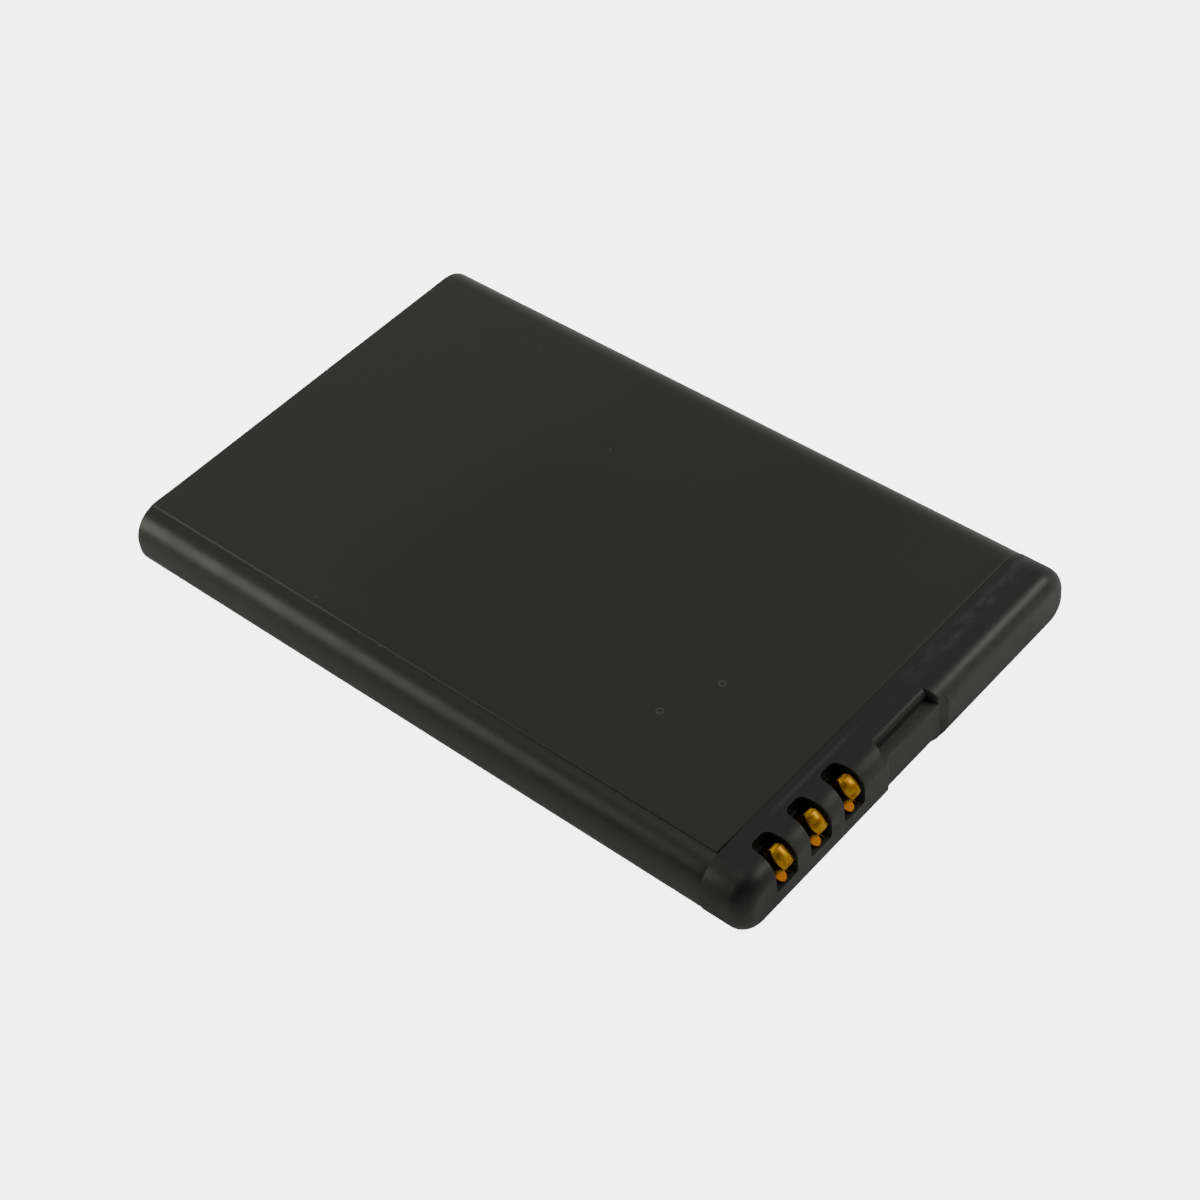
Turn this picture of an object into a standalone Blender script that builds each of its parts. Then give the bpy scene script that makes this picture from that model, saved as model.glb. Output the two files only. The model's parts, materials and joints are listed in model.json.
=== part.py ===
# Flat rechargeable battery pack with three recessed contacts at one end.
# The pack lies on its back: +X runs along its length to the contact end, +Y across it, +Z up through
# the face that carries the film's overlap. The origin is on the resting face, under the middle. The
# unit is the metre.

from math import asin, cos, pi, radians, sin

import bmesh
import bpy
from mathutils import Matrix, Vector

# Outside of the pack
PACK_LENGTH = 0.0540
PACK_WIDTH = 0.0340
PACK_HEIGHT = 0.0048
TOP_SIDE_RADIUS = 0.0023
BOTTOM_SIDE_RADIUS = 0.0020
ROUND_STEPS = 10
ROUND_SHARE_LOW = 0.1
ROUND_SHARE_HIGH = 0.98
SHARP_ANGLE = radians(30)
BEVEL_ANGLE = radians(40)

# Clearances: under the film, between flat seats, and between the film's front edge and the cap
GLUE = 0.00003
SEAT = 0.00002
LABEL_GAP = 0.00010

# Wrapped film
FILM = 0.00010
SEAM_INSET = 0.00190
OVERLAP = 0.0026
OVERLAP_RAMP = 0.0003
OVERLAP_LIMIT = 0.9
BACK_RADIUS = 0.00036
EDGE_STEPS = 5

# Moulded end cap
CAP_SHOW = 0.0034
CAP_PROUD = 0.00005
CAP_WALL = 0.0006
FRONT_RADIUS = 0.0013
FRONT_STEPS = 7
FRONT_BLOCK = 0.00195
CORE_WALL = 0.0009
CORE_INSET = 0.0002

# Contact slots, counted from the near corner
SLOT_COUNT = 3
SLOT_WIDTH = 0.00175
SLOT_PITCH = 0.00333
SLOT_CORNER = 0.00418
SLOT_DEPTH = 0.0026
SLOT_FLOOR_RADIUS = 0.0003
SLOT_FLOOR_STEPS = 4

# Latch notch in the middle of the front edge
NOTCH_WIDTH = 0.0054
NOTCH_RECESS = 0.0003
NOTCH_RAMP = 0.0005
NOTCH_SHIFT = 0.0004
POCKET_WIDTH = 0.0052
POCKET_DEPTH = 0.00112
POCKET_DROP = 0.0009
POCKET_FALL = 0.0003
POCKET_RAMP = 0.0005
POCKET_SHIFT = -0.00005
FOOT_WIDTH = 0.0041
FOOT_DEPTH = 0.00085
FOOT_RISE = 0.00078
FOOT_RAMP = 0.0010
FOOT_SHIFT = 0.00015

# Contact strips
CONTACT_THICKNESS = 0.00016
CONTACT_WIDTH = 0.00125
CONTACT_GAP = 0.00005
CONTACT_LIFT = 0.0003
SHOULDER_RISE = 0.0008
SHOULDER_SETBACK = 0.0016
SHOULDER_DROP = 0.0012
CREST_SETBACK = 0.00115
CREST_DROP = 0.00022
NOSE_SETBACK = 0.00018
NOSE_DROP = 0.0018
NOSE_WIDTH = 0.0008
TAIL_WIDTH = 0.0007
TUCK_SETBACK = 0.00082
TUCK_DROP = 0.00205
TAIL_SETBACK = 0.00038
TAIL_DROP = 0.00242
CONTACT_BEND = 0.0002
BEND_STEPS = 4
BEND_SHARE = 0.45

# Cell
LID_ROOM = 0.00182
LID_RECESS = 0.0001
LID_RIM = 0.00035
CAN_BOTTOM_RADIUS = 0.0006

# Back pad and its tape
PAD_THICKNESS = 0.0005
TAPE_THICKNESS = 0.0001
TAPE_MARGIN = 0.0030

# Terminal in the middle of the lid
GASKET_MARGIN = 0.00041
GASKET_HEIGHT = 0.0002
TERMINAL_INSET = 0.0002
TERMINAL_HEIGHT = 0.0003
SHANK_INSET = 0.0005
TURNED_SIDES = 32

# Insulating sheet on the lid
INSULATOR_THICKNESS = 0.00015
INSULATOR_MARGIN = 0.00006
INSULATOR_HOLE_GAP = 0.00015

# Weld block and nickel strips, with places along Y: the block's from the near side, the fuse's from the
# middle
STRIP_THICKNESS = 0.0001
STRIP_MARGIN = 0.00077
STRIP_FOOT = 0.0016
BLOCK_LENGTH = 0.0030
BLOCK_HEIGHT = 0.0003
BLOCK_FROM_SIDE = 0.0058
POSITIVE_RUN = 0.0024
FUSE_LENGTH = 0.0040
FUSE_MARGIN = 0.00037
FUSE_HEIGHT = 0.0007
FUSE_PLACE = 0.0044
NEGATIVE_RUN = 0.0036

# Protection board and the parts on its inner face, with places along Y: the chip's from the far side, the
# others' from the middle
BOARD_THICKNESS = 0.0006
BOARD_EDGE_GAP = 0.00012
CHIP_MARGIN = 0.00027
SWITCH_LENGTH = 0.0044
SWITCH_HEIGHT = 0.0008
SWITCH_LEADS = 4
SWITCH_LEAD_PITCH = 0.00065
SWITCH_PLACE = -0.0030
CHIP_LENGTH = 0.0016
CHIP_HEIGHT = 0.0009
CHIP_LEADS = 3
CHIP_LEAD_PITCH = 0.00095
CHIP_FROM_SIDE = 0.0045
LEAD_REACH = 0.0006
LEAD_THICKNESS = 0.00015
LEAD_WIDTH = 0.0003
SMALL_LENGTH = 0.0016
SMALL_WIDTH = 0.0008
RESISTOR_HEIGHT = 0.00045
CAPACITOR_HEIGHT = 0.0007
DATA_RESISTOR_PLACE = 0.0018
FILTER_RESISTOR_PLACE = 0.0042
FILTER_CAPACITOR_PLACE = 0.0066
SMALL_BREAK = 0.00006

# Planes worked out along the pack, from the back end to the contact end
back_x = -PACK_LENGTH / 2
front_x = PACK_LENGTH / 2
under_film = FILM + GLUE
pad_back_x = back_x + under_film
pad_front_x = pad_back_x + PAD_THICKNESS
tape_back_x = pad_front_x + SEAT
can_back_x = tape_back_x + TAPE_THICKNESS + SEAT
bay_front_x = front_x - FRONT_BLOCK
slot_start_x = bay_front_x - 2 * SEAT
board_front_x = bay_front_x - SEAT
board_back_x = board_front_x - BOARD_THICKNESS
rim_x = board_back_x - LID_ROOM
lid_x = rim_x - LID_RECESS
skirt_back_x = rim_x + SEAT
shoulder_x = front_x - CAP_SHOW
label_front_x = shoulder_x - LABEL_GAP
part_seat_x = board_back_x - SEAT
mid_z = PACK_HEIGHT / 2
pocket_floor_z = PACK_HEIGHT - POCKET_DROP - POCKET_FALL
slot_floor_z = PACK_HEIGHT - SLOT_DEPTH
PAST = 0.001

# Sizes that follow from the room across the thickness, in the cap's bay and on the lid
bay_inset = under_film + CAP_WALL
bay_room = PACK_HEIGHT - 2 * bay_inset
lid_inset = under_film + max(LID_RIM, CAP_WALL) + INSULATOR_MARGIN
gasket_radius = mid_z - lid_inset - GASKET_MARGIN
terminal_radius = gasket_radius - TERMINAL_INSET
shank_radius = terminal_radius - SHANK_INSET
strip_width = bay_room - 2 * STRIP_MARGIN
fuse_width = bay_room - 2 * FUSE_MARGIN
chip_width = bay_room - 2 * CHIP_MARGIN

# Places along Y that follow from the sides and from each other
block_y = BLOCK_FROM_SIDE - PACK_WIDTH / 2
positive_bend_y = block_y + POSITIVE_RUN
negative_bend_y = FUSE_PLACE + NEGATIVE_RUN
chip_y = PACK_WIDTH / 2 - CHIP_FROM_SIDE


def material(name, colour, roughness, metallic=0.0):
    """A Principled material of one colour."""
    made = bpy.data.materials.new(name)
    made.use_nodes = True
    shader = made.node_tree.nodes["Principled BSDF"]
    shader.inputs["Base Color"].default_value = (*colour, 1.0)
    shader.inputs["Roughness"].default_value = roughness
    shader.inputs["Metallic"].default_value = metallic
    made.diffuse_color = (*colour, 1.0)
    return made


def place(name, bm, finish, smooth=True):
    """Turns a bmesh into a named object that hangs from the pack's empty. A cutting shape has no finish."""
    bmesh.ops.remove_doubles(bm, verts=bm.verts, dist=1e-7)
    bmesh.ops.recalc_face_normals(bm, faces=bm.faces)
    mesh = bpy.data.meshes.new(name)
    bm.to_mesh(mesh)
    bm.free()
    if smooth and finish:
        mesh.shade_smooth()
        mesh.set_sharp_from_angle(angle=SHARP_ANGLE)
    made = bpy.data.objects.new(name, mesh)
    bpy.context.scene.collection.objects.link(made)
    made.parent = pack
    if finish:
        mesh.materials.append(finish)
    return made


def as_tool(shape):
    """Keeps a shape out of the model: it only cuts or joins another."""
    shape.hide_render = True
    shape.display_type = "WIRE"
    return shape


def combine(target, tool, operation):
    """Adds an exact Boolean of the tool shape to the target."""
    step = target.modifiers.new(f"{operation.lower()} {tool.name}", "BOOLEAN")
    step.operation = operation
    step.solver = "EXACT"
    step.object = as_tool(tool)


def even_shading(shape):
    """Lets the large flat faces set the shading of the edges that they share with rounded ones."""
    step = shape.modifiers.new("even shading", "WEIGHTED_NORMAL")
    step.keep_sharp = True


def round_edges(shape, width, steps):
    """Rounds the sharp edges of a shape by a Bevel modifier."""
    step = shape.modifiers.new("rounded edges", "BEVEL")
    step.width = width
    step.segments = steps
    step.limit_method = "ANGLE"
    step.angle_limit = BEVEL_ANGLE


def arc(centre, radius, start, end, steps):
    """Points of an arc in a plane, angles in radians."""
    span = end - start
    angles = [start + span * i / steps for i in range(steps + 1)]
    return [(centre[0] + radius * cos(a), centre[1] + radius * sin(a)) for a in angles]


def side_radii(inset):
    """Radii of the rounded long sides at an inset, limited by the height that they share."""
    room = PACK_HEIGHT - 2 * inset
    top = max(TOP_SIDE_RADIUS - inset, ROUND_SHARE_LOW * room)
    bottom = max(BOTTOM_SIDE_RADIUS - inset, ROUND_SHARE_LOW * room)
    scale = min(1.0, ROUND_SHARE_HIGH * room / (top + bottom))
    return top * scale, bottom * scale


def outline(inset, proud=0.0, lap=False):
    """Section of the pack at an inset, as (y, z) points. With lap it carries the film's overlap."""
    half = PACK_WIDTH / 2 + proud - inset
    top = PACK_HEIGHT - inset
    top_radius, bottom_radius = side_radii(inset)
    top_z = top - top_radius
    bottom_z = inset + bottom_radius
    points = arc((half - bottom_radius, bottom_z), bottom_radius, -pi / 2, 0, ROUND_STEPS)
    points += arc((half - top_radius, top_z), top_radius, 0, pi / 2, ROUND_STEPS)
    turn = pi / 2
    near_y = top_radius - half
    if lap:
        seam_y = SEAM_INSET - half
        turn += asin(min(max((near_y - seam_y) / top_radius, 0.0), OVERLAP_LIMIT))
        lap_y = seam_y + OVERLAP
        points += [(lap_y + OVERLAP_RAMP, top), (lap_y, top + FILM)]
        points += arc((near_y, top_z), top_radius + FILM, pi / 2, turn, 2)
    points += arc((near_y, top_z), top_radius, turn, pi, ROUND_STEPS)
    points += arc((bottom_radius - half, bottom_z), bottom_radius, pi, 1.5 * pi, ROUND_STEPS)
    return points


def loft(name, stations, finish):
    """Closed solid through sections: each station is (x, points), all with the same number of points."""
    bm = bmesh.new()
    rings = [[bm.verts.new((x, y, z)) for y, z in points] for x, points in stations]
    count = len(rings[0])
    for low, high in zip(rings, rings[1:]):
        for i in range(count):
            j = (i + 1) % count
            bm.faces.new((low[i], low[j], high[j], high[i]))
    bm.faces.new(rings[0])
    bm.faces.new(rings[-1])
    return place(name, bm, finish)


def rounded_stations(end_x, inward, radius, steps, inset=0.0, **section):
    """Stations of a rounded end edge, from where the rounding starts to the end plane."""
    angles = [i * pi / 2 / steps for i in range(steps + 1)]
    return [
        (end_x + inward * radius * (1 - sin(a)), outline(inset + radius * (1 - cos(a)), **section))
        for a in angles
    ]


def block(name, low, high, finish=None):
    """Box between two corners."""
    bm = bmesh.new()
    bmesh.ops.create_cube(bm, size=1.0)
    size = [h - l for l, h in zip(low, high)]
    middle = [(h + l) / 2 for l, h in zip(low, high)]
    bmesh.ops.scale(bm, vec=size, verts=bm.verts)
    bmesh.ops.translate(bm, vec=middle, verts=bm.verts)
    return place(name, bm, finish, smooth=False)


def prism(name, points, axis, low, high, finish=None):
    """A flat outline pushed along one axis: X takes (y, z) points, Y takes (x, z) and Z takes (x, y)."""
    bm = bmesh.new()
    if axis == "X":
        corners = [bm.verts.new((low, u, v)) for u, v in points]
        push = Vector((high - low, 0, 0))
    elif axis == "Y":
        corners = [bm.verts.new((u, low, v)) for u, v in points]
        push = Vector((0, high - low, 0))
    else:
        corners = [bm.verts.new((u, v, low)) for u, v in points]
        push = Vector((0, 0, high - low))
    face = bm.faces.new(corners)
    pushed = bmesh.ops.extrude_face_region(bm, geom=[face])["geom"]
    moved = [v for v in pushed if isinstance(v, bmesh.types.BMVert)]
    bmesh.ops.translate(bm, vec=push, verts=moved)
    return place(name, bm, finish)


def disc(name, x_low, x_high, radius, finish=None):
    """Turned disc whose axis runs along X through the middle of the lid."""
    bm = bmesh.new()
    bmesh.ops.create_cone(
        bm, cap_ends=True, segments=TURNED_SIDES, radius1=radius, radius2=radius, depth=x_high - x_low
    )
    turn = Matrix.Rotation(pi / 2, 4, "Y")
    shift = Matrix.Translation(((x_low + x_high) / 2, 0, mid_z))
    bmesh.ops.transform(bm, matrix=shift @ turn, verts=bm.verts)
    return place(name, bm, finish)


def bent(points, radius, steps):
    """A path of straight runs with its corners rounded."""
    path = [Vector(points[0])]
    for before, corner, after in zip(points, points[1:], points[2:]):
        corner = Vector(corner)
        run_in = Vector(before) - corner
        run_out = Vector(after) - corner
        half = run_in.angle(run_out) / 2
        reach = min(radius * cos(half) / sin(half), BEND_SHARE * run_in.length, BEND_SHARE * run_out.length)
        inward = (run_in.normalized() + run_out.normalized()).normalized()
        centre = corner + inward * reach / cos(half)
        start = corner + run_in.normalized() * reach - centre
        end = corner + run_out.normalized() * reach - centre
        turn = pi - 2 * half
        for i in range(steps + 1):
            t = i / steps
            path.append(centre + (start * sin((1 - t) * turn) + end * sin(t * turn)) / sin(turn))
    path.append(Vector(points[-1]))
    return path


def ribbon_outline(path, thickness):
    """Closed outline of a strip of one thickness along a path in a plane."""
    left = []
    right = []
    for i, point in enumerate(path):
        before = path[max(i - 1, 0)]
        after = path[min(i + 1, len(path) - 1)]
        run = (point - before).normalized() + (after - point).normalized()
        run.normalize()
        reference = (after - point) if i == 0 else (point - before)
        lean = max(run.dot(reference.normalized()), 0.5)
        side = Vector((-run.y, run.x)) * thickness / 2 / lean
        left.append(tuple(point + side))
        right.append(tuple(point - side))
    return left + right[::-1]


def slot_places():
    """Middle of each slot along Y, from the near corner inwards."""
    first = SLOT_CORNER - PACK_WIDTH / 2
    return [first + i * SLOT_PITCH for i in range(SLOT_COUNT)]


def make_label():
    """The film: a skin round the cell that laps over itself, folded over the back end."""
    stations = [(label_front_x, outline(0, lap=True))]
    stations += rounded_stations(back_x, 1, BACK_RADIUS, EDGE_STEPS, lap=True)
    label = loft("label", stations, film_black)
    inner_radius = BACK_RADIUS - FILM
    room = [(label_front_x + PAST, outline(FILM))]
    room += rounded_stations(back_x + FILM, 1, inner_radius, EDGE_STEPS, inset=FILM)
    combine(label, loft("label_room", room, None), "DIFFERENCE")
    even_shading(label)


def make_end_cap():
    """The moulded cap: a skirt under the film, a bay for the board, a front block with slots and a notch."""
    stations = [(skirt_back_x, outline(under_film)), (shoulder_x, outline(under_film))]
    stations += [(shoulder_x, outline(0, proud=CAP_PROUD))]
    stations += rounded_stations(front_x, -1, FRONT_RADIUS, FRONT_STEPS, proud=CAP_PROUD)
    cap = loft("end_cap", stations, cap_black)
    bay = outline(bay_inset)
    combine(cap, loft("board_bay", [(skirt_back_x - PAST, bay), (bay_front_x, bay)], None), "DIFFERENCE")
    for number, y in enumerate(slot_places()):
        combine(cap, make_slot_cutter(f"slot_{number}", y), "DIFFERENCE")
    for cutter in make_notch_cutters():
        combine(cap, cutter, "DIFFERENCE")
    for cutter in make_core_cutters():
        combine(cap, cutter, "DIFFERENCE")
    even_shading(cap)


def make_slot_cutter(name, y):
    """One contact slot: open at the front and the top, with a round-cornered floor."""
    half = SLOT_WIDTH / 2
    radius = SLOT_FLOOR_RADIUS
    centre_z = slot_floor_z + radius
    points = [(y - half, PACK_HEIGHT + PAST)]
    points += arc((y - half + radius, centre_z), radius, pi, 1.5 * pi, SLOT_FLOOR_STEPS)
    points += arc((y + half - radius, centre_z), radius, 1.5 * pi, 2 * pi, SLOT_FLOOR_STEPS)
    points += [(y + half, PACK_HEIGHT + PAST)]
    return prism(name, points, "X", slot_start_x, front_x + PAST)


def notch_plan(depth, width, ramp, shift):
    """Plan of a cut into the front face whose ends slope outwards, as (x, y) points."""
    deep = width / 2
    reach = deep + ramp * (depth + PAST) / depth
    return [
        (front_x - depth, shift - deep),
        (front_x + PAST, shift - reach),
        (front_x + PAST, shift + reach),
        (front_x - depth, shift + deep),
    ]


def make_notch_cutters():
    """The latch notch: a shallow recess down the whole front, a deeper pocket above and a step below."""
    recess_plan = notch_plan(NOTCH_RECESS, NOTCH_WIDTH, NOTCH_RAMP, NOTCH_SHIFT)
    pocket_plan = notch_plan(POCKET_DEPTH, POCKET_WIDTH, POCKET_RAMP, POCKET_SHIFT)
    foot_plan = notch_plan(FOOT_DEPTH, FOOT_WIDTH, FOOT_RAMP, FOOT_SHIFT)
    recess = prism("latch_recess", recess_plan, "Z", -PAST, PACK_HEIGHT + PAST)
    pocket = prism("latch_pocket", pocket_plan, "Z", PACK_HEIGHT - POCKET_DROP, PACK_HEIGHT + 2 * PAST)
    for vert in pocket.data.vertices:
        if vert.co.x > front_x and vert.co.z < PACK_HEIGHT:
            vert.co.z -= POCKET_FALL * (POCKET_DEPTH + PAST) / POCKET_DEPTH
    foot = prism("latch_foot", foot_plan, "Z", -PAST, FOOT_RISE)
    return recess, pocket, foot


def make_core_cutters():
    """Cores from behind that keep the front block's walls even: one beside the notch and one below it."""
    far_y = PACK_WIDTH / 2 - bay_inset - max(side_radii(bay_inset))
    low_z = bay_inset + CORE_INSET
    high_z = PACK_HEIGHT - low_z
    beside = block(
        "core_beside_notch",
        (slot_start_x, NOTCH_SHIFT + NOTCH_WIDTH / 2 + NOTCH_RAMP + CORE_WALL, low_z),
        (front_x - CORE_WALL, far_y, high_z),
    )
    below = block(
        "core_below_pocket",
        (slot_start_x, -POCKET_WIDTH / 2, FOOT_RISE + CORE_WALL),
        (front_x - NOTCH_RECESS - CORE_WALL, POCKET_WIDTH / 2, pocket_floor_z - CORE_WALL),
    )
    return beside, below


def make_contacts():
    """Three gold-plated strips: from the board up to a crest, down to a nose and back to a short tail."""
    foot_x = board_front_x + SEAT + CONTACT_THICKNESS / 2
    foot_z = slot_floor_z + CONTACT_LIFT
    middle_line = [
        (foot_x, foot_z),
        (foot_x, foot_z + SHOULDER_RISE),
        (front_x - SHOULDER_SETBACK, PACK_HEIGHT - SHOULDER_DROP),
        (front_x - CREST_SETBACK, PACK_HEIGHT - CREST_DROP),
        (front_x - NOSE_SETBACK, PACK_HEIGHT - NOSE_DROP),
        (front_x - TUCK_SETBACK, PACK_HEIGHT - TUCK_DROP),
        (front_x - TAIL_SETBACK, PACK_HEIGHT - TAIL_DROP),
    ]
    profile = ribbon_outline(bent(middle_line, CONTACT_BEND, BEND_STEPS), CONTACT_THICKNESS)
    tuck_x = front_x - TUCK_SETBACK
    tuck_z = PACK_HEIGHT - TUCK_DROP
    for name, slot_y in zip(("contact_positive", "contact_data", "contact_negative"), slot_places()):
        right_y = slot_y + SLOT_WIDTH / 2 - CONTACT_GAP
        left_y = right_y - CONTACT_WIDTH
        contact = prism(name, profile, "Y", left_y, right_y, gold)
        beside_nose = block(
            "beside_nose",
            (foot_x + CONTACT_THICKNESS, left_y - PAST, tuck_z),
            (front_x + PAST, right_y - NOSE_WIDTH, PACK_HEIGHT + PAST),
        )
        beside_tail = block(
            "beside_tail",
            (tuck_x + CONTACT_THICKNESS / 2, left_y + TAIL_WIDTH, 0),
            (front_x + PAST, right_y + PAST, tuck_z - CONTACT_THICKNESS / 2),
        )
        combine(contact, beside_nose, "DIFFERENCE")
        combine(contact, beside_tail, "DIFFERENCE")


def make_cell():
    """The sealed aluminium can: a drawn body with round bottom edges and a lid set just below its rim."""
    stations = rounded_stations(can_back_x, 1, CAN_BOTTOM_RADIUS, EDGE_STEPS, inset=under_film)[::-1]
    stations += [
        (rim_x, outline(under_film)),
        (rim_x, outline(under_film + LID_RIM)),
        (lid_x, outline(under_film + LID_RIM)),
    ]
    loft("cell", stations, aluminium)


def make_back_end():
    """The pad that closes the back end, and the tape that holds it on the can."""
    radius = BACK_RADIUS - under_film
    stations = [(pad_front_x, outline(under_film))]
    stations += rounded_stations(pad_back_x, 1, radius, EDGE_STEPS, inset=under_film)
    loft("back_pad", stations, pad_black)
    half = PACK_WIDTH / 2 - TAPE_MARGIN
    margin = under_film + CAN_BOTTOM_RADIUS
    block(
        "back_tape",
        (tape_back_x, -half, margin),
        (tape_back_x + TAPE_THICKNESS, half, PACK_HEIGHT - margin),
        tape_white,
    )


def make_terminal():
    """The negative pole: a plastic ring on the lid and a rivet whose shank fills the ring's hole."""
    gasket_x = lid_x + SEAT
    gasket_top_x = gasket_x + GASKET_HEIGHT
    gasket = disc("terminal_gasket", gasket_x, gasket_top_x, gasket_radius, gasket_clear)
    hole = disc("gasket_hole", gasket_x - PAST, gasket_top_x + PAST, shank_radius + SEAT)
    combine(gasket, hole, "DIFFERENCE")
    head_x = gasket_top_x + SEAT
    rivet = disc("negative_terminal", head_x, head_x + TERMINAL_HEIGHT, terminal_radius, nickel)
    shank = disc("rivet_shank", gasket_x, head_x + TERMINAL_HEIGHT / 2, shank_radius)
    combine(rivet, shank, "UNION")
    return head_x + TERMINAL_HEIGHT


def make_insulator():
    """The fibre sheet on the lid, with a round hole for the ring and a square one for the weld block."""
    bottom_x = lid_x + SEAT
    top_x = bottom_x + INSULATOR_THICKNESS
    plan = outline(lid_inset)
    sheet = loft("lid_insulator", [(bottom_x, plan), (top_x, plan)], fibre)
    hole = disc("insulator_hole", bottom_x - PAST, top_x + PAST, gasket_radius + INSULATOR_HOLE_GAP)
    combine(sheet, hole, "DIFFERENCE")
    half_y = BLOCK_LENGTH / 2 + INSULATOR_HOLE_GAP
    half_z = strip_width / 2 + INSULATOR_HOLE_GAP
    window = block(
        "insulator_window",
        (bottom_x - PAST, block_y - half_y, mid_z - half_z),
        (top_x + PAST, block_y + half_y, mid_z + half_z),
    )
    combine(sheet, window, "DIFFERENCE")
    return top_x


def strip(name, corners):
    """A nickel strip that follows (x, y) corners and stands across the pack's thickness."""
    path = bent(corners, 2 * STRIP_THICKNESS, BEND_STEPS)
    profile = ribbon_outline(path, STRIP_THICKNESS)
    prism(name, profile, "Z", mid_z - strip_width / 2, mid_z + strip_width / 2, nickel)


def make_positive_path():
    """The can is the positive pole: a block welded on the lid, and a strip from it to the board."""
    block_x = lid_x + SEAT
    half = BLOCK_LENGTH / 2
    block(
        "weld_block",
        (block_x, block_y - half, mid_z - strip_width / 2),
        (block_x + BLOCK_HEIGHT, block_y + half, mid_z + strip_width / 2),
        nickel,
    )
    low_x = block_x + BLOCK_HEIGHT + SEAT + STRIP_THICKNESS / 2
    high_x = part_seat_x - STRIP_THICKNESS / 2
    strip(
        "positive_strip",
        [
            (low_x, block_y - half),
            (low_x, positive_bend_y),
            (high_x, positive_bend_y),
            (high_x, positive_bend_y + STRIP_FOOT),
        ],
    )


def make_negative_path(terminal_top_x, insulator_top_x):
    """From the rivet through the temperature fuse to the board."""
    fuse_x = insulator_top_x + SEAT
    start_y = FUSE_PLACE - FUSE_LENGTH / 2
    end_y = FUSE_PLACE + FUSE_LENGTH / 2
    fuse = block(
        "thermal_fuse",
        (fuse_x, start_y, mid_z - fuse_width / 2),
        (fuse_x + FUSE_HEIGHT, end_y, mid_z + fuse_width / 2),
        fuse_black,
    )
    round_edges(fuse, SMALL_BREAK * 2, 2)
    lead_x = terminal_top_x + SEAT + STRIP_THICKNESS / 2
    strip("fuse_lead", [(lead_x, -terminal_radius), (lead_x, start_y - SEAT)])
    high_x = part_seat_x - STRIP_THICKNESS / 2
    strip(
        "negative_strip",
        [
            (lead_x, end_y + SEAT),
            (lead_x, negative_bend_y),
            (high_x, negative_bend_y),
            (high_x, negative_bend_y + STRIP_FOOT),
        ],
    )


def make_board():
    """The circuit board that stands against the back of the cap's front block."""
    half = PACK_WIDTH / 2 - bay_inset - max(side_radii(bay_inset))
    margin = bay_inset + BOARD_EDGE_GAP
    block(
        "protection_board",
        (board_back_x, -half, margin),
        (board_front_x, half, PACK_HEIGHT - margin),
        board_dark,
    )


def chip(name, place_y, length, height, leads, pitch):
    """A moulded chip on the board's inner face, with a row of bent leads at each end of its length."""
    top_x = part_seat_x - height
    body = block(
        name,
        (top_x, place_y - length / 2, mid_z - chip_width / 2),
        (part_seat_x - LEAD_THICKNESS, place_y + length / 2, mid_z + chip_width / 2),
        chip_black,
    )
    foot_x = part_seat_x - LEAD_THICKNESS / 2
    lead_x = (top_x + part_seat_x) / 2
    knee = length / 2 + LEAD_REACH / 2
    tip = length / 2 + LEAD_REACH
    half_line = [(lead_x, knee), (foot_x, knee), (foot_x, tip)]
    corners = [(x, -y) for x, y in half_line[::-1]] + half_line
    profile = ribbon_outline(bent(corners, LEAD_THICKNESS, 2), LEAD_THICKNESS)
    profile = [(x, place_y + y) for x, y in profile]
    for i in range(leads):
        z = mid_z + (i - (leads - 1) / 2) * pitch
        lead = prism(f"{name}_lead_{i}", profile, "Z", z - LEAD_WIDTH / 2, z + LEAD_WIDTH / 2)
        combine(body, lead, "UNION")


def make_small_part(name, place_y, height, finish):
    """A soldered block such as a resistor or a capacitor, with its edges broken."""
    part = block(
        name,
        (part_seat_x - height, place_y - SMALL_WIDTH / 2, mid_z - SMALL_LENGTH / 2),
        (part_seat_x, place_y + SMALL_WIDTH / 2, mid_z + SMALL_LENGTH / 2),
        finish,
    )
    round_edges(part, SMALL_BREAK, 2)


for old in list(bpy.data.objects):
    bpy.data.objects.remove(old)

pack = bpy.data.objects.new("battery_pack", None)
bpy.context.scene.collection.objects.link(pack)

film_black = material("black film", (0.028, 0.028, 0.023), 0.55)
cap_black = material("black moulding", (0.014, 0.017, 0.016), 0.45)
gold = material("gold plating", (0.72, 0.46, 0.09), 0.28, 1.0)
aluminium = material("drawn aluminium", (0.62, 0.63, 0.64), 0.38, 1.0)
nickel = material("nickel strip", (0.55, 0.54, 0.51), 0.32, 1.0)
pad_black = material("black pad", (0.02, 0.02, 0.02), 0.6)
tape_white = material("white tape", (0.72, 0.70, 0.64), 0.8)
gasket_clear = material("gasket plastic", (0.75, 0.74, 0.70), 0.5)
fibre = material("fibre sheet", (0.55, 0.50, 0.38), 0.9)
fuse_black = material("fuse body", (0.05, 0.05, 0.055), 0.5)
board_dark = material("board lacquer", (0.010, 0.018, 0.014), 0.4)
chip_black = material("chip moulding", (0.02, 0.02, 0.022), 0.55)
resistor_black = material("resistor glaze", (0.03, 0.03, 0.035), 0.35)
capacitor_tan = material("capacitor ceramic", (0.36, 0.24, 0.14), 0.5)

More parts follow.
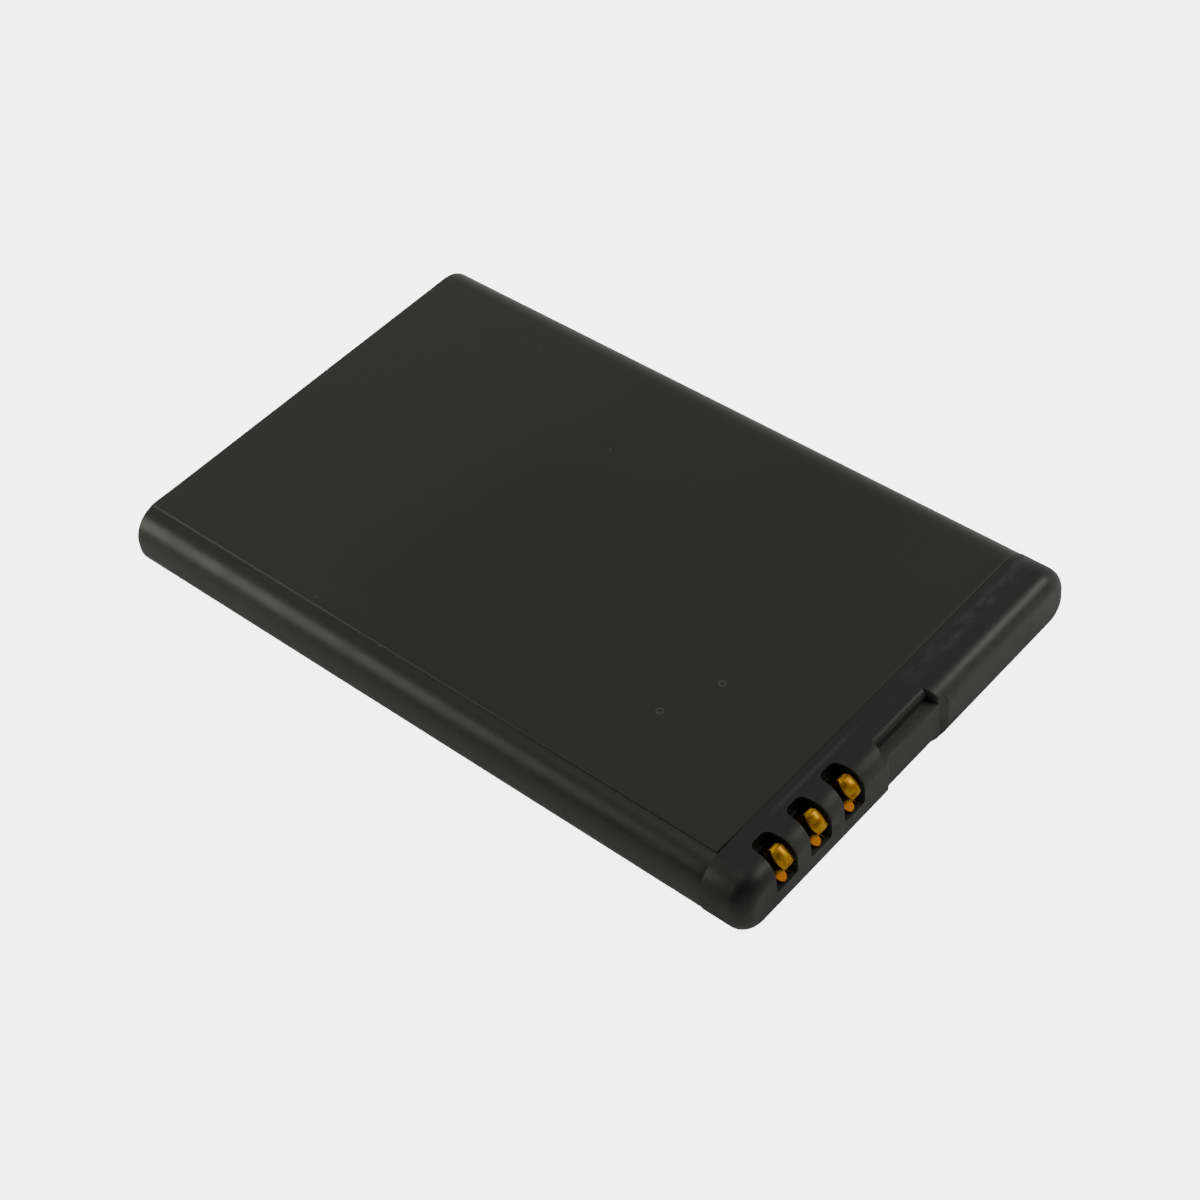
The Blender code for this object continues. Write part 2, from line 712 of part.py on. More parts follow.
make_label()
make_end_cap()
make_contacts()
make_cell()
make_back_end()
terminal_top = make_terminal()
insulator_top = make_insulator()
make_positive_path()
make_negative_path(terminal_top, insulator_top)
make_board()
chip("switch_transistor", SWITCH_PLACE, SWITCH_LENGTH, SWITCH_HEIGHT, SWITCH_LEADS, SWITCH_LEAD_PITCH)
chip("protection_chip", chip_y, CHIP_LENGTH, CHIP_HEIGHT, CHIP_LEADS, CHIP_LEAD_PITCH)
make_small_part("data_resistor", DATA_RESISTOR_PLACE, RESISTOR_HEIGHT, resistor_black)
make_small_part("filter_resistor", FILTER_RESISTOR_PLACE, RESISTOR_HEIGHT, resistor_black)
make_small_part("filter_capacitor", FILTER_CAPACITOR_PLACE, CAPACITOR_HEIGHT, capacitor_tan)
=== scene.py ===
# %% [markdown]
# A flat rechargeable battery pack. Its solids are already made: a film-wrapped cell, a moulded end cap
# and three gold-plated contacts. In this lesson those solids become the frame, and each piece that shows
# is made again as a fine, smooth mesh in exactly the same place, with a finish worked out by shader
# nodes.

# %% Load the frame
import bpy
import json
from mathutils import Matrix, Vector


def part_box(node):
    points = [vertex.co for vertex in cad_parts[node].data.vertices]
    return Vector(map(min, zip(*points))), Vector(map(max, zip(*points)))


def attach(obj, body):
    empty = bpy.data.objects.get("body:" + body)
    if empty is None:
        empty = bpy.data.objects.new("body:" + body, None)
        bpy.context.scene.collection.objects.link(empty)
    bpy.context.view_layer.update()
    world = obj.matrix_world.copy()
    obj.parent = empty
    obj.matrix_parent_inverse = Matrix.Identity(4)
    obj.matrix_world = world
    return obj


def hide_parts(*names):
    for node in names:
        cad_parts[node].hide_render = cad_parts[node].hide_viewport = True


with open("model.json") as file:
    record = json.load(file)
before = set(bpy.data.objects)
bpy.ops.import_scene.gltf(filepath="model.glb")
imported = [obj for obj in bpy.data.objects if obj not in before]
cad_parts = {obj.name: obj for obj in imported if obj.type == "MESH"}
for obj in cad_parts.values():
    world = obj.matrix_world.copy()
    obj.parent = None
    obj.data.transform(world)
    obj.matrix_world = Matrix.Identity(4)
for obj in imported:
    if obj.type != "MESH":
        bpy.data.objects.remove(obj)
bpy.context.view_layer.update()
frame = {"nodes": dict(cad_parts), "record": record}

# %% [markdown]
# Blender's own modules come next. bmesh edits meshes with the same operators as Edit Mode, and mathutils
# gives vectors, matrices and a smooth noise that returns the same numbers on each run.

# %% Modules
import json
import math

import bmesh
import bpy
from mathutils import Matrix, Vector, noise

# %% [markdown]
# A lesson is easier to follow with the real sizes at hand. The long runs come from the frame, so that the
# pieces meet what they sit on. The radii are those of the pack: its section is a flat bar with round long
# sides, a little rounder above than below. Points nearer than WELD are one point, and TINY is no distance.

# %% Sizes of the pack
MM = 0.001
film_low, film_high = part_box("label")
cap_low, cap_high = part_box("end_cap")
PACK_WIDTH = film_high.y - film_low.y
PACK_HEIGHT = cap_high.z
TOP_SIDE_RADIUS = 2.3 * MM
BOTTOM_SIDE_RADIUS = 2.0 * MM
SIDE_STEPS = 18
FRONT_X = cap_high.x
BACK_X = film_low.x
LONG_RUN = 10 * MM
TINY = 1e-6
WELD = 1e-7
print(f"pack: {(FRONT_X - BACK_X) / MM:.1f} x {PACK_WIDTH / MM:.1f} x {PACK_HEIGHT / MM:.1f} mm")

# %% [markdown]
# Every ring of the film and the cap is the same section, set in by some distance. To move a ring in or
# out evenly, each point needs its own outward direction: it points away from a core line that runs inside
# each rounded side.

# %% Outward direction of the section


def core_point(point):
    """Nearest point of the bar's core, round which the sides are curved."""
    radius = TOP_SIDE_RADIUS if point.z > BOTTOM_SIDE_RADIUS else BOTTOM_SIDE_RADIUS
    reach = PACK_WIDTH / 2 - radius
    y = max(-reach, min(point.y, reach))
    z = max(BOTTOM_SIDE_RADIUS, min(point.z, PACK_HEIGHT - TOP_SIDE_RADIUS))
    return Vector((point.x, y, z))


def outward(point):
    """Direction straight out of the pack at a point of its section."""
    return (point - core_point(point)).normalized()


near_side = Vector((0, -PACK_WIDTH / 2, PACK_HEIGHT / 2))
print("outward at the near side:", [round(v, 2) for v in outward(near_side)])

# %% [markdown]
# The first ring starts as one rectangle of four points. A vertex bevel rounds its corners, which is
# quicker and cleaner than working out arcs by hand, and then the face is taken away so that only the
# outline is left.

# %% First ring of a section


def first_ring(bm, x, inset=0.0):
    """Outline of the pack's section at one place along its length, as a loop of edges."""
    half = PACK_WIDTH / 2
    places = ((-half, 0), (half, 0), (half, PACK_HEIGHT), (-half, PACK_HEIGHT))
    corners = [bm.verts.new((x, y, z)) for y, z in places]
    bm.faces.new(corners)
    for pair, radius in ((corners[:2], BOTTOM_SIDE_RADIUS), (corners[2:], TOP_SIDE_RADIUS)):
        bmesh.ops.bevel(
            bm, geom=pair, offset=radius, segments=SIDE_STEPS, profile=0.5, affect="VERTICES", material=-1
        )
    bmesh.ops.delete(bm, geom=bm.faces[:], context="FACES_ONLY")
    for vert in bm.verts:
        vert.co -= outward(vert.co) * inset
    return bm.edges[:]


# %% [markdown]
# A long hollow shape is then a matter of extruding the outline again and again. Each extrusion slides the
# new ring along the pack and pushes it in or out, which makes the straight runs and the rounded ends.

# %% Extrude a ring


def extrude_ring(bm, edges, x, push=0.0):
    """Extrudes a loop of edges to a new place along the pack, pushed outwards by a distance."""
    made = bmesh.ops.extrude_edge_only(bm, edges=edges)["geom"]
    verts = {item for item in made if isinstance(item, bmesh.types.BMVert)}
    for vert in verts:
        vert.co += outward(vert.co) * push
        vert.co.x = x
    return [item for item in made if isinstance(item, bmesh.types.BMEdge) and set(item.verts) <= verts]


def round_end(bm, edges, end_x, inward, radius, steps):
    """Extrudes a loop round the edge of an end face, as a quarter circle."""
    inset = 0.0
    for i in range(1, steps + 1):
        angle = i * math.pi / 2 / steps
        deeper = radius * (1 - math.cos(angle))
        edges = extrude_ring(bm, edges, end_x + inward * radius * (1 - math.sin(angle)), inset - deeper)
        inset = deeper
    return edges


# %% [markdown]
# Each finished mesh becomes an object in the same way: doubles are merged, the faces are turned outwards,
# and the shading is smooth except across real corners. The object rides on the pack's one body, and hides
# the solid that it stands for.

# %% Turn a mesh into a piece


def make_piece(name, bm, slot, *nodes, sharp=35):
    """Named object that rides on the pack and stands for its solids."""
    bmesh.ops.remove_doubles(bm, verts=bm.verts, dist=WELD)
    bmesh.ops.recalc_face_normals(bm, faces=bm.faces)
    mesh = bpy.data.meshes.new(name)
    bm.to_mesh(mesh)
    bm.free()
    mesh.shade_smooth()
    mesh.set_sharp_from_angle(angle=math.radians(sharp))
    piece = bpy.data.objects.new(name, mesh)
    bpy.context.scene.collection.objects.link(piece)
    if nodes:
        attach(piece, "root")
        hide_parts(*nodes)
    print(name, "has", len(mesh.polygons), "faces")
    return piece


# %% [markdown]
# The film is a matt black sleeve, a tenth of a millimetre thick. It could be a Solidify modifier on a
# tube, but here the inner wall is extruded as well, so that the overlap can be thicker than the rest. The
# outer wall comes first: its front edge dips a little, where the film leaves the can and follows the
# cap's step.

# %% Film: the outer wall
FILM = 0.1 * MM
BACK_RADIUS = 0.36 * MM
EDGE_DIP = 0.02 * MM
EDGE_REACH = 0.09 * MM
EDGE_RUN = 0.35 * MM
END_STEPS = 8
film_bm = bmesh.new()
film_front_x = film_high.x + EDGE_REACH
front_edge = first_ring(film_bm, film_front_x, inset=EDGE_DIP)
ring = extrude_ring(film_bm, front_edge, film_front_x - EDGE_RUN, EDGE_DIP)
ring = extrude_ring(film_bm, ring, BACK_X + BACK_RADIUS)
ring = round_end(film_bm, ring, BACK_X, 1, BACK_RADIUS, END_STEPS)
bmesh.ops.holes_fill(film_bm, edges=ring, sides=0)
print("outer wall:", len(film_bm.faces), "faces")

# %% [markdown]
# Two long flat faces can't carry any unevenness, so the long runs are cut into small quads.
# subdivide_edges with grid fill does it in two goes, once along the pack and once across it.

# %% Film: small quads
LONG_CUTS = 74
CROSS_CUTS = 44
long_runs = [e for e in film_bm.edges if abs(e.verts[0].co.x - e.verts[1].co.x) > LONG_RUN]
bmesh.ops.subdivide_edges(film_bm, edges=long_runs, cuts=LONG_CUTS, use_grid_fill=True)
cross_runs = [e for e in film_bm.edges if abs(e.verts[0].co.y - e.verts[1].co.y) > LONG_RUN]
bmesh.ops.subdivide_edges(film_bm, edges=cross_runs, cuts=CROSS_CUTS, use_grid_fill=True)
print("after cutting:", len(film_bm.faces), "faces")

# %% [markdown]
# The film goes once round the cell and then laps over its own start, along the near long side. The cut
# edge of the upper layer is a step one film high. Planes cut the mesh where the step and the far end of
# the lap are, and then the band between them is lifted.

# %% Film: the overlap
SEAM_Y = film_low.y + 1.9 * MM
LAP_END_Y = SEAM_Y + 2.6 * MM
LAP_RAMP = 0.3 * MM
STEP_WIDTH = 0.012 * MM
LAP_LEFT_AT_BACK = 0.15
NEAR_PLANE = 2 * MM


def is_upper(point):
    """Whether a point is high enough for the upper side of the film."""
    return point.z > PACK_HEIGHT - TOP_SIDE_RADIUS


for y in (SEAM_Y - STEP_WIDTH, SEAM_Y, LAP_END_Y, LAP_END_Y + LAP_RAMP):
    upper = []
    for face in film_bm.faces:
        middle = face.calc_center_median()
        if is_upper(middle) and abs(middle.y - y) < NEAR_PLANE:
            upper.append(face)
    near = set(upper)
    near.update(e for f in upper for e in f.edges)
    near.update(v for f in upper for v in f.verts)
    bmesh.ops.bisect_plane(film_bm, geom=list(near), dist=WELD, plane_co=(0, y, 0), plane_no=(0, 1, 0))
lifted = 0
for vert in film_bm.verts:
    if not is_upper(vert.co) or vert.co.y < SEAM_Y - TINY or vert.co.y > LAP_END_Y + LAP_RAMP:
        continue
    along = (vert.co.y - SEAM_Y) / (LAP_END_Y + LAP_RAMP - SEAM_Y)
    fade = 0.5 + 0.5 * math.cos(math.pi * along)
    at_back = min(1.0, max((vert.co.x - BACK_X) / BACK_RADIUS, LAP_LEFT_AT_BACK))
    vert.co += outward(vert.co) * FILM * fade * at_back
    lifted += 1
print("overlap: lifted", lifted, "points by", FILM / MM, "mm")

# %% [markdown]
# Real film is never quite flat. Each outer point sinks by a few thousandths of a millimetre, by a smooth
# noise, which is enough to make reflections waver. It only sinks, so the pack stays inside its measured
# size.

# %% Film: slight unevenness
WAVE = 0.006 * MM
WAVE_LENGTH = 7 * MM
STILL_EDGE = 1 * MM
for vert in film_bm.verts:
    if vert.co.x < film_front_x - STILL_EDGE:
        vert.co -= outward(vert.co) * WAVE * (0.5 + 0.5 * noise.noise(vert.co / WAVE_LENGTH))
print("sunk by up to", WAVE / MM, "mm")

# %% [markdown]
# The inner wall closes the skin. It starts from the open front edge, comes down to the true thickness,
# runs back, and is rounded and closed like the outside.

# %% Film: the inner wall
front_edge = [e for e in film_bm.edges if e.is_boundary]
ring = extrude_ring(film_bm, front_edge, film_front_x)
for vert in {v for e in ring for v in e.verts}:
    core = core_point(vert.co)
    radius = TOP_SIDE_RADIUS if vert.co.z > BOTTOM_SIDE_RADIUS else BOTTOM_SIDE_RADIUS
    vert.co = core + (vert.co - core).normalized() * (radius - FILM)
ring = extrude_ring(film_bm, ring, BACK_X + BACK_RADIUS)
ring = round_end(film_bm, ring, BACK_X + FILM, 1, BACK_RADIUS - FILM, END_STEPS)
bmesh.ops.holes_fill(film_bm, edges=ring, sides=0)
film = make_piece("film_sleeve", film_bm, "film", "label")

# %% [markdown]
# The end cap is one moulding. Its skirt goes under the film, then a low shoulder brings it flush, and its
# front edge is rounded. The blank is extruded ring by ring, closed at both ends.

# %% Cap: the blank
UNDER_FILM = 0.13 * MM
SHOULDER_X = FRONT_X - 3.4 * MM
SHOULDER_RADIUS = 0.05 * MM
SHOULDER_STEPS = 5
CAP_PROUD = 0.05 * MM
FRONT_RADIUS = 1.3 * MM
FRONT_STEPS = 14
cap_bm = bmesh.new()
back_ring = first_ring(cap_bm, cap_low.x, inset=UNDER_FILM)
ring = extrude_ring(cap_bm, back_ring, SHOULDER_X)
ring = extrude_ring(cap_bm, ring, SHOULDER_X, UNDER_FILM - SHOULDER_RADIUS)
for vert in {v for e in ring for v in e.verts}:
    vert.co.y += math.copysign(CAP_PROUD, vert.co.y)
shoulder_turn = math.pi / 2 / SHOULDER_STEPS
for i in range(1, SHOULDER_STEPS + 1):
    angle = i * shoulder_turn
    rise = SHOULDER_RADIUS * (math.sin(angle) - math.sin(angle - shoulder_turn))
    ring = extrude_ring(cap_bm, ring, SHOULDER_X + SHOULDER_RADIUS * (1 - math.cos(angle)), rise)
ring = extrude_ring(cap_bm, ring, FRONT_X - FRONT_RADIUS)
ring = round_end(cap_bm, ring, FRONT_X, -1, FRONT_RADIUS, FRONT_STEPS)
bmesh.ops.holes_fill(cap_bm, edges=ring, sides=0)
bmesh.ops.holes_fill(cap_bm, edges=back_ring, sides=0)
print("cap blank:", len(cap_bm.faces), "faces")

# %% [markdown]
# What is cut from the blank is made as its own closed shapes, as a toolmaker would make cores. Most are
# boxes whose corners are moved or bevelled. Where they open outwards they reach past the blank.

# %% Cap: helpers for the cores
PAST = 1 * MM
AT_FACE = 0.01 * MM
CORE_EDGE = 0.5 * MM
made_cores = []


def round_edges(bm, edges, radius, segments, clamp=False):
    """Rounds edges with a bevel."""
    bmesh.ops.bevel(
        bm,
        geom=edges,
        offset=radius,
        segments=segments,
        profile=0.5,
        affect="EDGES",
        clamp_overlap=clamp,
        material=-1,
    )


def core_box(name, low, high, slope=0.0, fall=0.0, round_back=0.0, round_floor=0.0):
    """Box between two corners, which can widen and deepen to the front, or have a rounded back or floor."""
    bm = bmesh.new()
    bmesh.ops.create_cube(bm, size=1.0)
    bmesh.ops.scale(bm, vec=[h - l for l, h in zip(low, high)], verts=bm.verts)
    bmesh.ops.translate(bm, vec=[(h + l) / 2 for l, h in zip(low, high)], verts=bm.verts)
    middle_y = (low[1] + high[1]) / 2
    for vert in bm.verts:
        if vert.co.x > (low[0] + high[0]) / 2:
            vert.co.y += math.copysign(slope, vert.co.y - middle_y)
            vert.co.z -= fall if vert.co.z < (low[2] + high[2]) / 2 else 0
    if round_back:
        upright = [e for e in bm.edges if abs(e.verts[0].co.z - e.verts[1].co.z) > CORE_EDGE]
        round_edges(bm, [e for e in upright if e.verts[0].co.x < low[0] + AT_FACE], round_back, 8)
    if round_floor:
        along_x = [e for e in bm.edges if abs(e.verts[0].co.x - e.verts[1].co.x) > CORE_EDGE]
        round_edges(bm, [e for e in along_x if e.verts[0].co.z < low[2] + AT_FACE], round_floor, 6)
    core = make_piece(name, bm, None)
    made_cores.append(core)
    return core


# %% [markdown]
# Three slots let the contact pins of a device in from the front and from above. Their walls have draft:
# they stand a little further apart at the front, where the core is drawn out of the mould.

# %% Cap: contact slots
SLOT_LEFT = 0.76 * MM
SLOT_RIGHT = 0.79 * MM
SLOT_DRAFT = 0.36 * MM
SLOT_PITCH = 3.33 * MM
SLOT_FLOOR = 2.2 * MM
SLOT_BACK_X = FRONT_X - 2.2 * MM
SLOT_CORNER = 0.45 * MM
SLOT_FLOOR_CORNER = 0.3 * MM
FIRST_SLOT_Y = -PACK_WIDTH / 2 + 4.18 * MM
slot_places = [FIRST_SLOT_Y + i * SLOT_PITCH for i in range(3)]
for number, y in enumerate(slot_places):
    core_box(
        f"slot_core_{number}",
        (SLOT_BACK_X, y - SLOT_LEFT, SLOT_FLOOR),
        (FRONT_X + PAST, y + SLOT_RIGHT, PACK_HEIGHT + PAST),
        slope=SLOT_DRAFT,
        round_back=SLOT_CORNER,
        round_floor=SLOT_FLOOR_CORNER,
    )
print("slots at", [round(y / MM, 2) for y in slot_places], "mm")

# %% [markdown]
# The notch beside the slots takes the latch of a device: a shallow recess down the whole front, a deeper
# pocket at its top and a step at its foot. All three widen towards the front by a ramp, so that the latch
# finds its way in, and the pocket's floor falls to the front as well.

# %% Cap: latch notch
NOTCH_DEPTH = 0.3 * MM
NOTCH_START, NOTCH_END = -2.3 * MM, 3.1 * MM
POCKET_DEPTH = 1.04 * MM
POCKET_START, POCKET_END = -2.65 * MM, 2.55 * MM
POCKET_FLOOR = PACK_HEIGHT - 0.9 * MM
POCKET_FALL = 0.3 * MM
FOOT_DEPTH = 0.85 * MM
FOOT_START, FOOT_END = -1.9 * MM, 2.2 * MM
FOOT_TOP = 0.78 * MM
RAMP = 0.5 * MM


def past_front(length, depth):
    """Length reached at the core's end when it has this length at the front face."""
    return length * (depth + PAST) / depth


core_box(
    "notch_core",
    (FRONT_X - NOTCH_DEPTH, NOTCH_START, -PAST),
    (FRONT_X + PAST, NOTCH_END, PACK_HEIGHT + PAST),
    slope=past_front(RAMP, NOTCH_DEPTH),
)
pocket_core = core_box(
    "pocket_core",
    (FRONT_X - POCKET_DEPTH, POCKET_START, POCKET_FLOOR),
    (FRONT_X + PAST, POCKET_END, PACK_HEIGHT + 2 * PAST),
    slope=past_front(RAMP, POCKET_DEPTH),
    fall=past_front(POCKET_FALL, POCKET_DEPTH),
)
core_box(
    "foot_core",
    (FRONT_X - FOOT_DEPTH, FOOT_START, -PAST),
    (FRONT_X + PAST, FOOT_END, FOOT_TOP),
    slope=past_front(2 * RAMP, FOOT_DEPTH),
)
print("pocket is", round(POCKET_DEPTH / MM, 2), "mm deep")

# %% [markdown]
# The pocket's back edge is well rounded, which shows as a soft bright line in front of a dark one. A bevel
# on the finished cap would run into the small faces around it, so the core gets the shape instead: planes
# cut its back face in rows, and each row moves back by what a quarter circle says. The circle ends just
# above the cap's top face, so that the face is cut cleanly.

# %% Cap: rounded mouth of the pocket
MOUTH_RADIUS = 0.42 * MM
MOUTH_STEPS = 6
MOUTH_TOP = PACK_HEIGHT + 0.003 * MM
pocket_bm = bmesh.new()
pocket_bm.from_mesh(pocket_core.data)
for i in range(MOUTH_STEPS + 1):
    z = MOUTH_TOP - MOUTH_RADIUS * (1 - math.sin(i * math.pi / 2 / MOUTH_STEPS))
    whole = pocket_bm.verts[:] + pocket_bm.edges[:] + pocket_bm.faces[:]
    bmesh.ops.bisect_plane(pocket_bm, geom=whole, dist=WELD, plane_co=(0, 0, z), plane_no=(0, 0, 1))
for vert in pocket_bm.verts:
    if vert.co.x < FRONT_X - POCKET_DEPTH + AT_FACE:
        climb = min(1.0, max(0.0, 1 - (MOUTH_TOP - vert.co.z) / MOUTH_RADIUS))
        vert.co.x -= MOUTH_RADIUS * (1 - math.sqrt(1 - climb**2))
pocket_bm.to_mesh(pocket_core.data)
pocket_bm.free()
print("rounded by", round(MOUTH_RADIUS / MM, 2), "mm")

# %% [markdown]
# Behind the front wall is a bay for the circuit board, and two cored pockets that keep the walls of the
# moulding even. Nobody sees them in a closed pack.

# %% Cap: bay and cored pockets
BAY_FRONT_X = FRONT_X - 1.95 * MM
BAY_INSET = UNDER_FILM + 0.6 * MM
CORED_LOW_Z = BAY_INSET + 0.2 * MM
CORED_BACK_X = BAY_FRONT_X - 0.04 * MM
BESIDE_WALL = 0.9 * MM
BELOW_WALL = 1.2 * MM
bay_bm = bmesh.new()
bay_back = first_ring(bay_bm, cap_low.x - PAST, inset=BAY_INSET)
bay_front = extrude_ring(bay_bm, bay_back, BAY_FRONT_X)
bmesh.ops.holes_fill(bay_bm, edges=bay_back + bay_front, sides=0)
made_cores.append(make_piece("bay_core", bay_bm, None))
beside_high = (FRONT_X - BESIDE_WALL, 14.2 * MM, PACK_HEIGHT - CORED_LOW_Z)
core_box("core_beside", (CORED_BACK_X, 4.5 * MM, CORED_LOW_Z), beside_high)
below_high = (FRONT_X - BELOW_WALL, 2.6 * MM, PACK_HEIGHT - 2.1 * MM)
core_box("core_below", (CORED_BACK_X, -2.6 * MM, 1.68 * MM), below_high)

# %% [markdown]
# A Boolean modifier with the exact solver subtracts each core. The evaluated mesh is then taken back into
# bmesh, and points that the solver left almost on top of each other are merged.

# %% Cap: cut the blank
CUT_WELD = 2e-6
blank = make_piece("cap_blank", cap_bm, None)
for core in made_cores:
    cut = blank.modifiers.new(core.name, "BOOLEAN")
    cut.operation = "DIFFERENCE"
    cut.solver = "EXACT"
    cut.object = core
bpy.context.view_layer.update()
cut_mesh = bpy.data.meshes.new_from_object(blank.evaluated_get(bpy.context.evaluated_depsgraph_get()))
cap_bm = bmesh.new()
cap_bm.from_mesh(cut_mesh)
bmesh.ops.remove_doubles(cap_bm, verts=cap_bm.verts, dist=CUT_WELD)
bmesh.ops.dissolve_degenerate(cap_bm, dist=CUT_WELD, edges=cap_bm.edges)
for leftover in made_cores + [blank]:
    bpy.data.objects.remove(leftover)
print("cut cap:", len(cap_bm.faces), "faces")

# %% [markdown]
# The sharp mouths need their edges broken: a mould never gives a razor edge, and the small rounding is what
# catches the light. Only outward edges in front of the bay are taken, and no arc is steep enough to count.

# %% Cap: break the edges
EDGE_BREAK = 0.09 * MM
SHARP_FROM = math.radians(32)
BREAK_FROM_X = BAY_FRONT_X - 0.06 * MM
mouth_edges = []
for edge in cap_bm.edges:
    if len(edge.link_faces) != 2 or min(v.co.x for v in edge.verts) <= BREAK_FROM_X:
        continue
    if edge.calc_face_angle(0) > SHARP_FROM and edge.calc_face_angle_signed(0) > 0:
        mouth_edges.append(edge)
print("edges to break:", len(mouth_edges))
round_edges(cap_bm, mouth_edges, EDGE_BREAK, 3, clamp=True)
cap = make_piece("cap_moulding", cap_bm, "cap", "end_cap")
even = cap.modifiers.new("even shading", "WEIGHTED_NORMAL")
even.keep_sharp = True

# %% [markdown]
# Each contact is stamped from thin strip. Bent along the slot, it rises from the circuit board to a
# crest, runs down to a nose, tucks back and ends in a short tail. Seen from the side that is one line of
# seven points, given here from the pack's front face and its top.

# %% Contacts: the bend line
FOOT_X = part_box("protection_board")[1].x + 0.1 * MM
bend_line = [
    (FOOT_X, SLOT_FLOOR + 0.3 * MM),
    (FOOT_X, SLOT_FLOOR + 1.1 * MM),
    (FRONT_X - 1.6 * MM, PACK_HEIGHT - 1.2 * MM),
    (FRONT_X - 1.15 * MM, PACK_HEIGHT - 0.22 * MM),
    (FRONT_X - 0.14 * MM, PACK_HEIGHT - 1.56 * MM),
    (FRONT_X - 0.90 * MM, PACK_HEIGHT - 2.02 * MM),
    (FRONT_X - 0.16 * MM, PACK_HEIGHT - 2.51 * MM),
]
print("bend line, mm:", [(round(x / MM, 2), round(z / MM, 2)) for x, z in bend_line])

# %% [markdown]
# The line is extruded sideways into a sheet: one column beside the nose, then seven even ones across it,
# because it will be crowned. The nose is narrower than the foot, and the tail is narrower still and set to
# one side, so the faces beside them are deleted before anything is bent.

# %% Contacts: the sheet
NOSE_WIDTH = 1.14 * MM
NOSE_COLUMNS = 7
TAIL_COLUMN = 5
TUCK_Z = PACK_HEIGHT - 2.0 * MM
BEHIND_TAIL_X = FRONT_X - 1 * MM


def make_sheet(name):
    """The bend line pushed sideways into a sheet, less what the strip lacks beside its nose and tail."""
    low_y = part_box(name)[0].y
    nose_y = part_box(name)[1].y - NOSE_WIDTH
    columns = [low_y] + [nose_y + NOSE_WIDTH * i / NOSE_COLUMNS for i in range(NOSE_COLUMNS + 1)]
    bm = bmesh.new()
    points = [bm.verts.new((x, low_y, z)) for x, z in bend_line]
    edges = [bm.edges.new(pair) for pair in zip(points, points[1:])]
    for before, after in zip(columns, columns[1:]):
        made = bmesh.ops.extrude_edge_only(bm, edges=edges)["geom"]
        fresh = {item for item in made if isinstance(item, bmesh.types.BMVert)}
        bmesh.ops.translate(bm, vec=(0, after - before, 0), verts=list(fresh))
        edges = [e for e in made if isinstance(e, bmesh.types.BMEdge) and set(e.verts) <= fresh]
    away = []
    for face in bm.faces:
        middle = face.calc_center_median()
        beside_nose = middle.y < nose_y and middle.z > TUCK_Z and middle.x > FOOT_X + 0.1 * MM
        beside_tail = middle.y > columns[TAIL_COLUMN] and middle.z < TUCK_Z and middle.x > BEHIND_TAIL_X
        if beside_nose or beside_tail:
            away.append(face)
    bmesh.ops.delete(bm, geom=away, context="FACES")
    return bm, nose_y + NOSE_WIDTH / 2


# %% [markdown]
# The folds have different angles, so each needs its own reach back from the corner to get the same bend
# radius: the radius divided by the tangent of half the angle, and never more than half of a short run.

# %% Contacts: bend the folds
BEND_RADIUS = 0.2 * MM
RUN_SHARE = 0.45
FOLD_STEPS = 8


def fold_reach(index):
    """How far back from a corner of the bend line its arc starts."""
    corner = Vector(bend_line[index])
    run_in = Vector(bend_line[index - 1]) - corner
    run_out = Vector(bend_line[index + 1]) - corner
    half = run_in.angle(run_out) / 2
    return min(BEND_RADIUS / math.tan(half), RUN_SHARE * run_in.length, RUN_SHARE * run_out.length)


def bend_contact(bm):
    """Rounds each fold of the sheet by a bevel of its own width."""
    for index in range(1, len(bend_line) - 1):
        x, z = bend_line[index]
        corner = Vector((x, 0, z))
        on_fold = {v for v in bm.verts if (Vector((v.co.x, 0, v.co.z)) - corner).length < TINY}
        fold = [e for e in bm.edges if set(e.verts) <= on_fold]
        round_edges(bm, fold, fold_reach(index), FOLD_STEPS)


# %% [markdown]
# A flat blade would touch a pin along a sharp edge, so the press that cuts the strip also crowns it: the
# slope from crest to nose swells in the middle and narrows at both ends, and so does the neck behind the
# crest. The slope gets rows of faces for that, and each point moves by how far it is along the slope and
# across it. The nose leans a little to the far side, and the tail narrows to a round tip.

# %% Contacts: crown the nose
CROWN = 0.30 * MM
END_SHARE = 0.42
NECK_SHARE = 0.58
NECK_Z = PACK_HEIGHT - 1.3 * MM
END_RUN = 0.5 * MM
LEAN = 0.18 * MM
TIP_SHARE = 0.3
SHORTEST_RUN = 0.15 * MM
crest, nose, tuck, tip = [Vector((x, 0, z)) for x, z in bend_line[3:]]


def cut_rows(bm, start, end, cuts):
    """Cuts rows into the straight run of the sheet between two corners of the bend line."""
    run = (end - start).normalized()
    rows = []
    for edge in bm.edges:
        step = edge.verts[1].co - edge.verts[0].co
        from_start = edge.verts[0].co - start
        from_start.y = 0
        off_line = (from_start - run * from_start.dot(run)).length
        if abs(step.dot(run)) > SHORTEST_RUN and off_line < TINY and step.cross(run).length < WELD:
            rows.append(edge)
    bmesh.ops.subdivide_edges(bm, edges=rows, cuts=cuts, use_grid_fill=True)


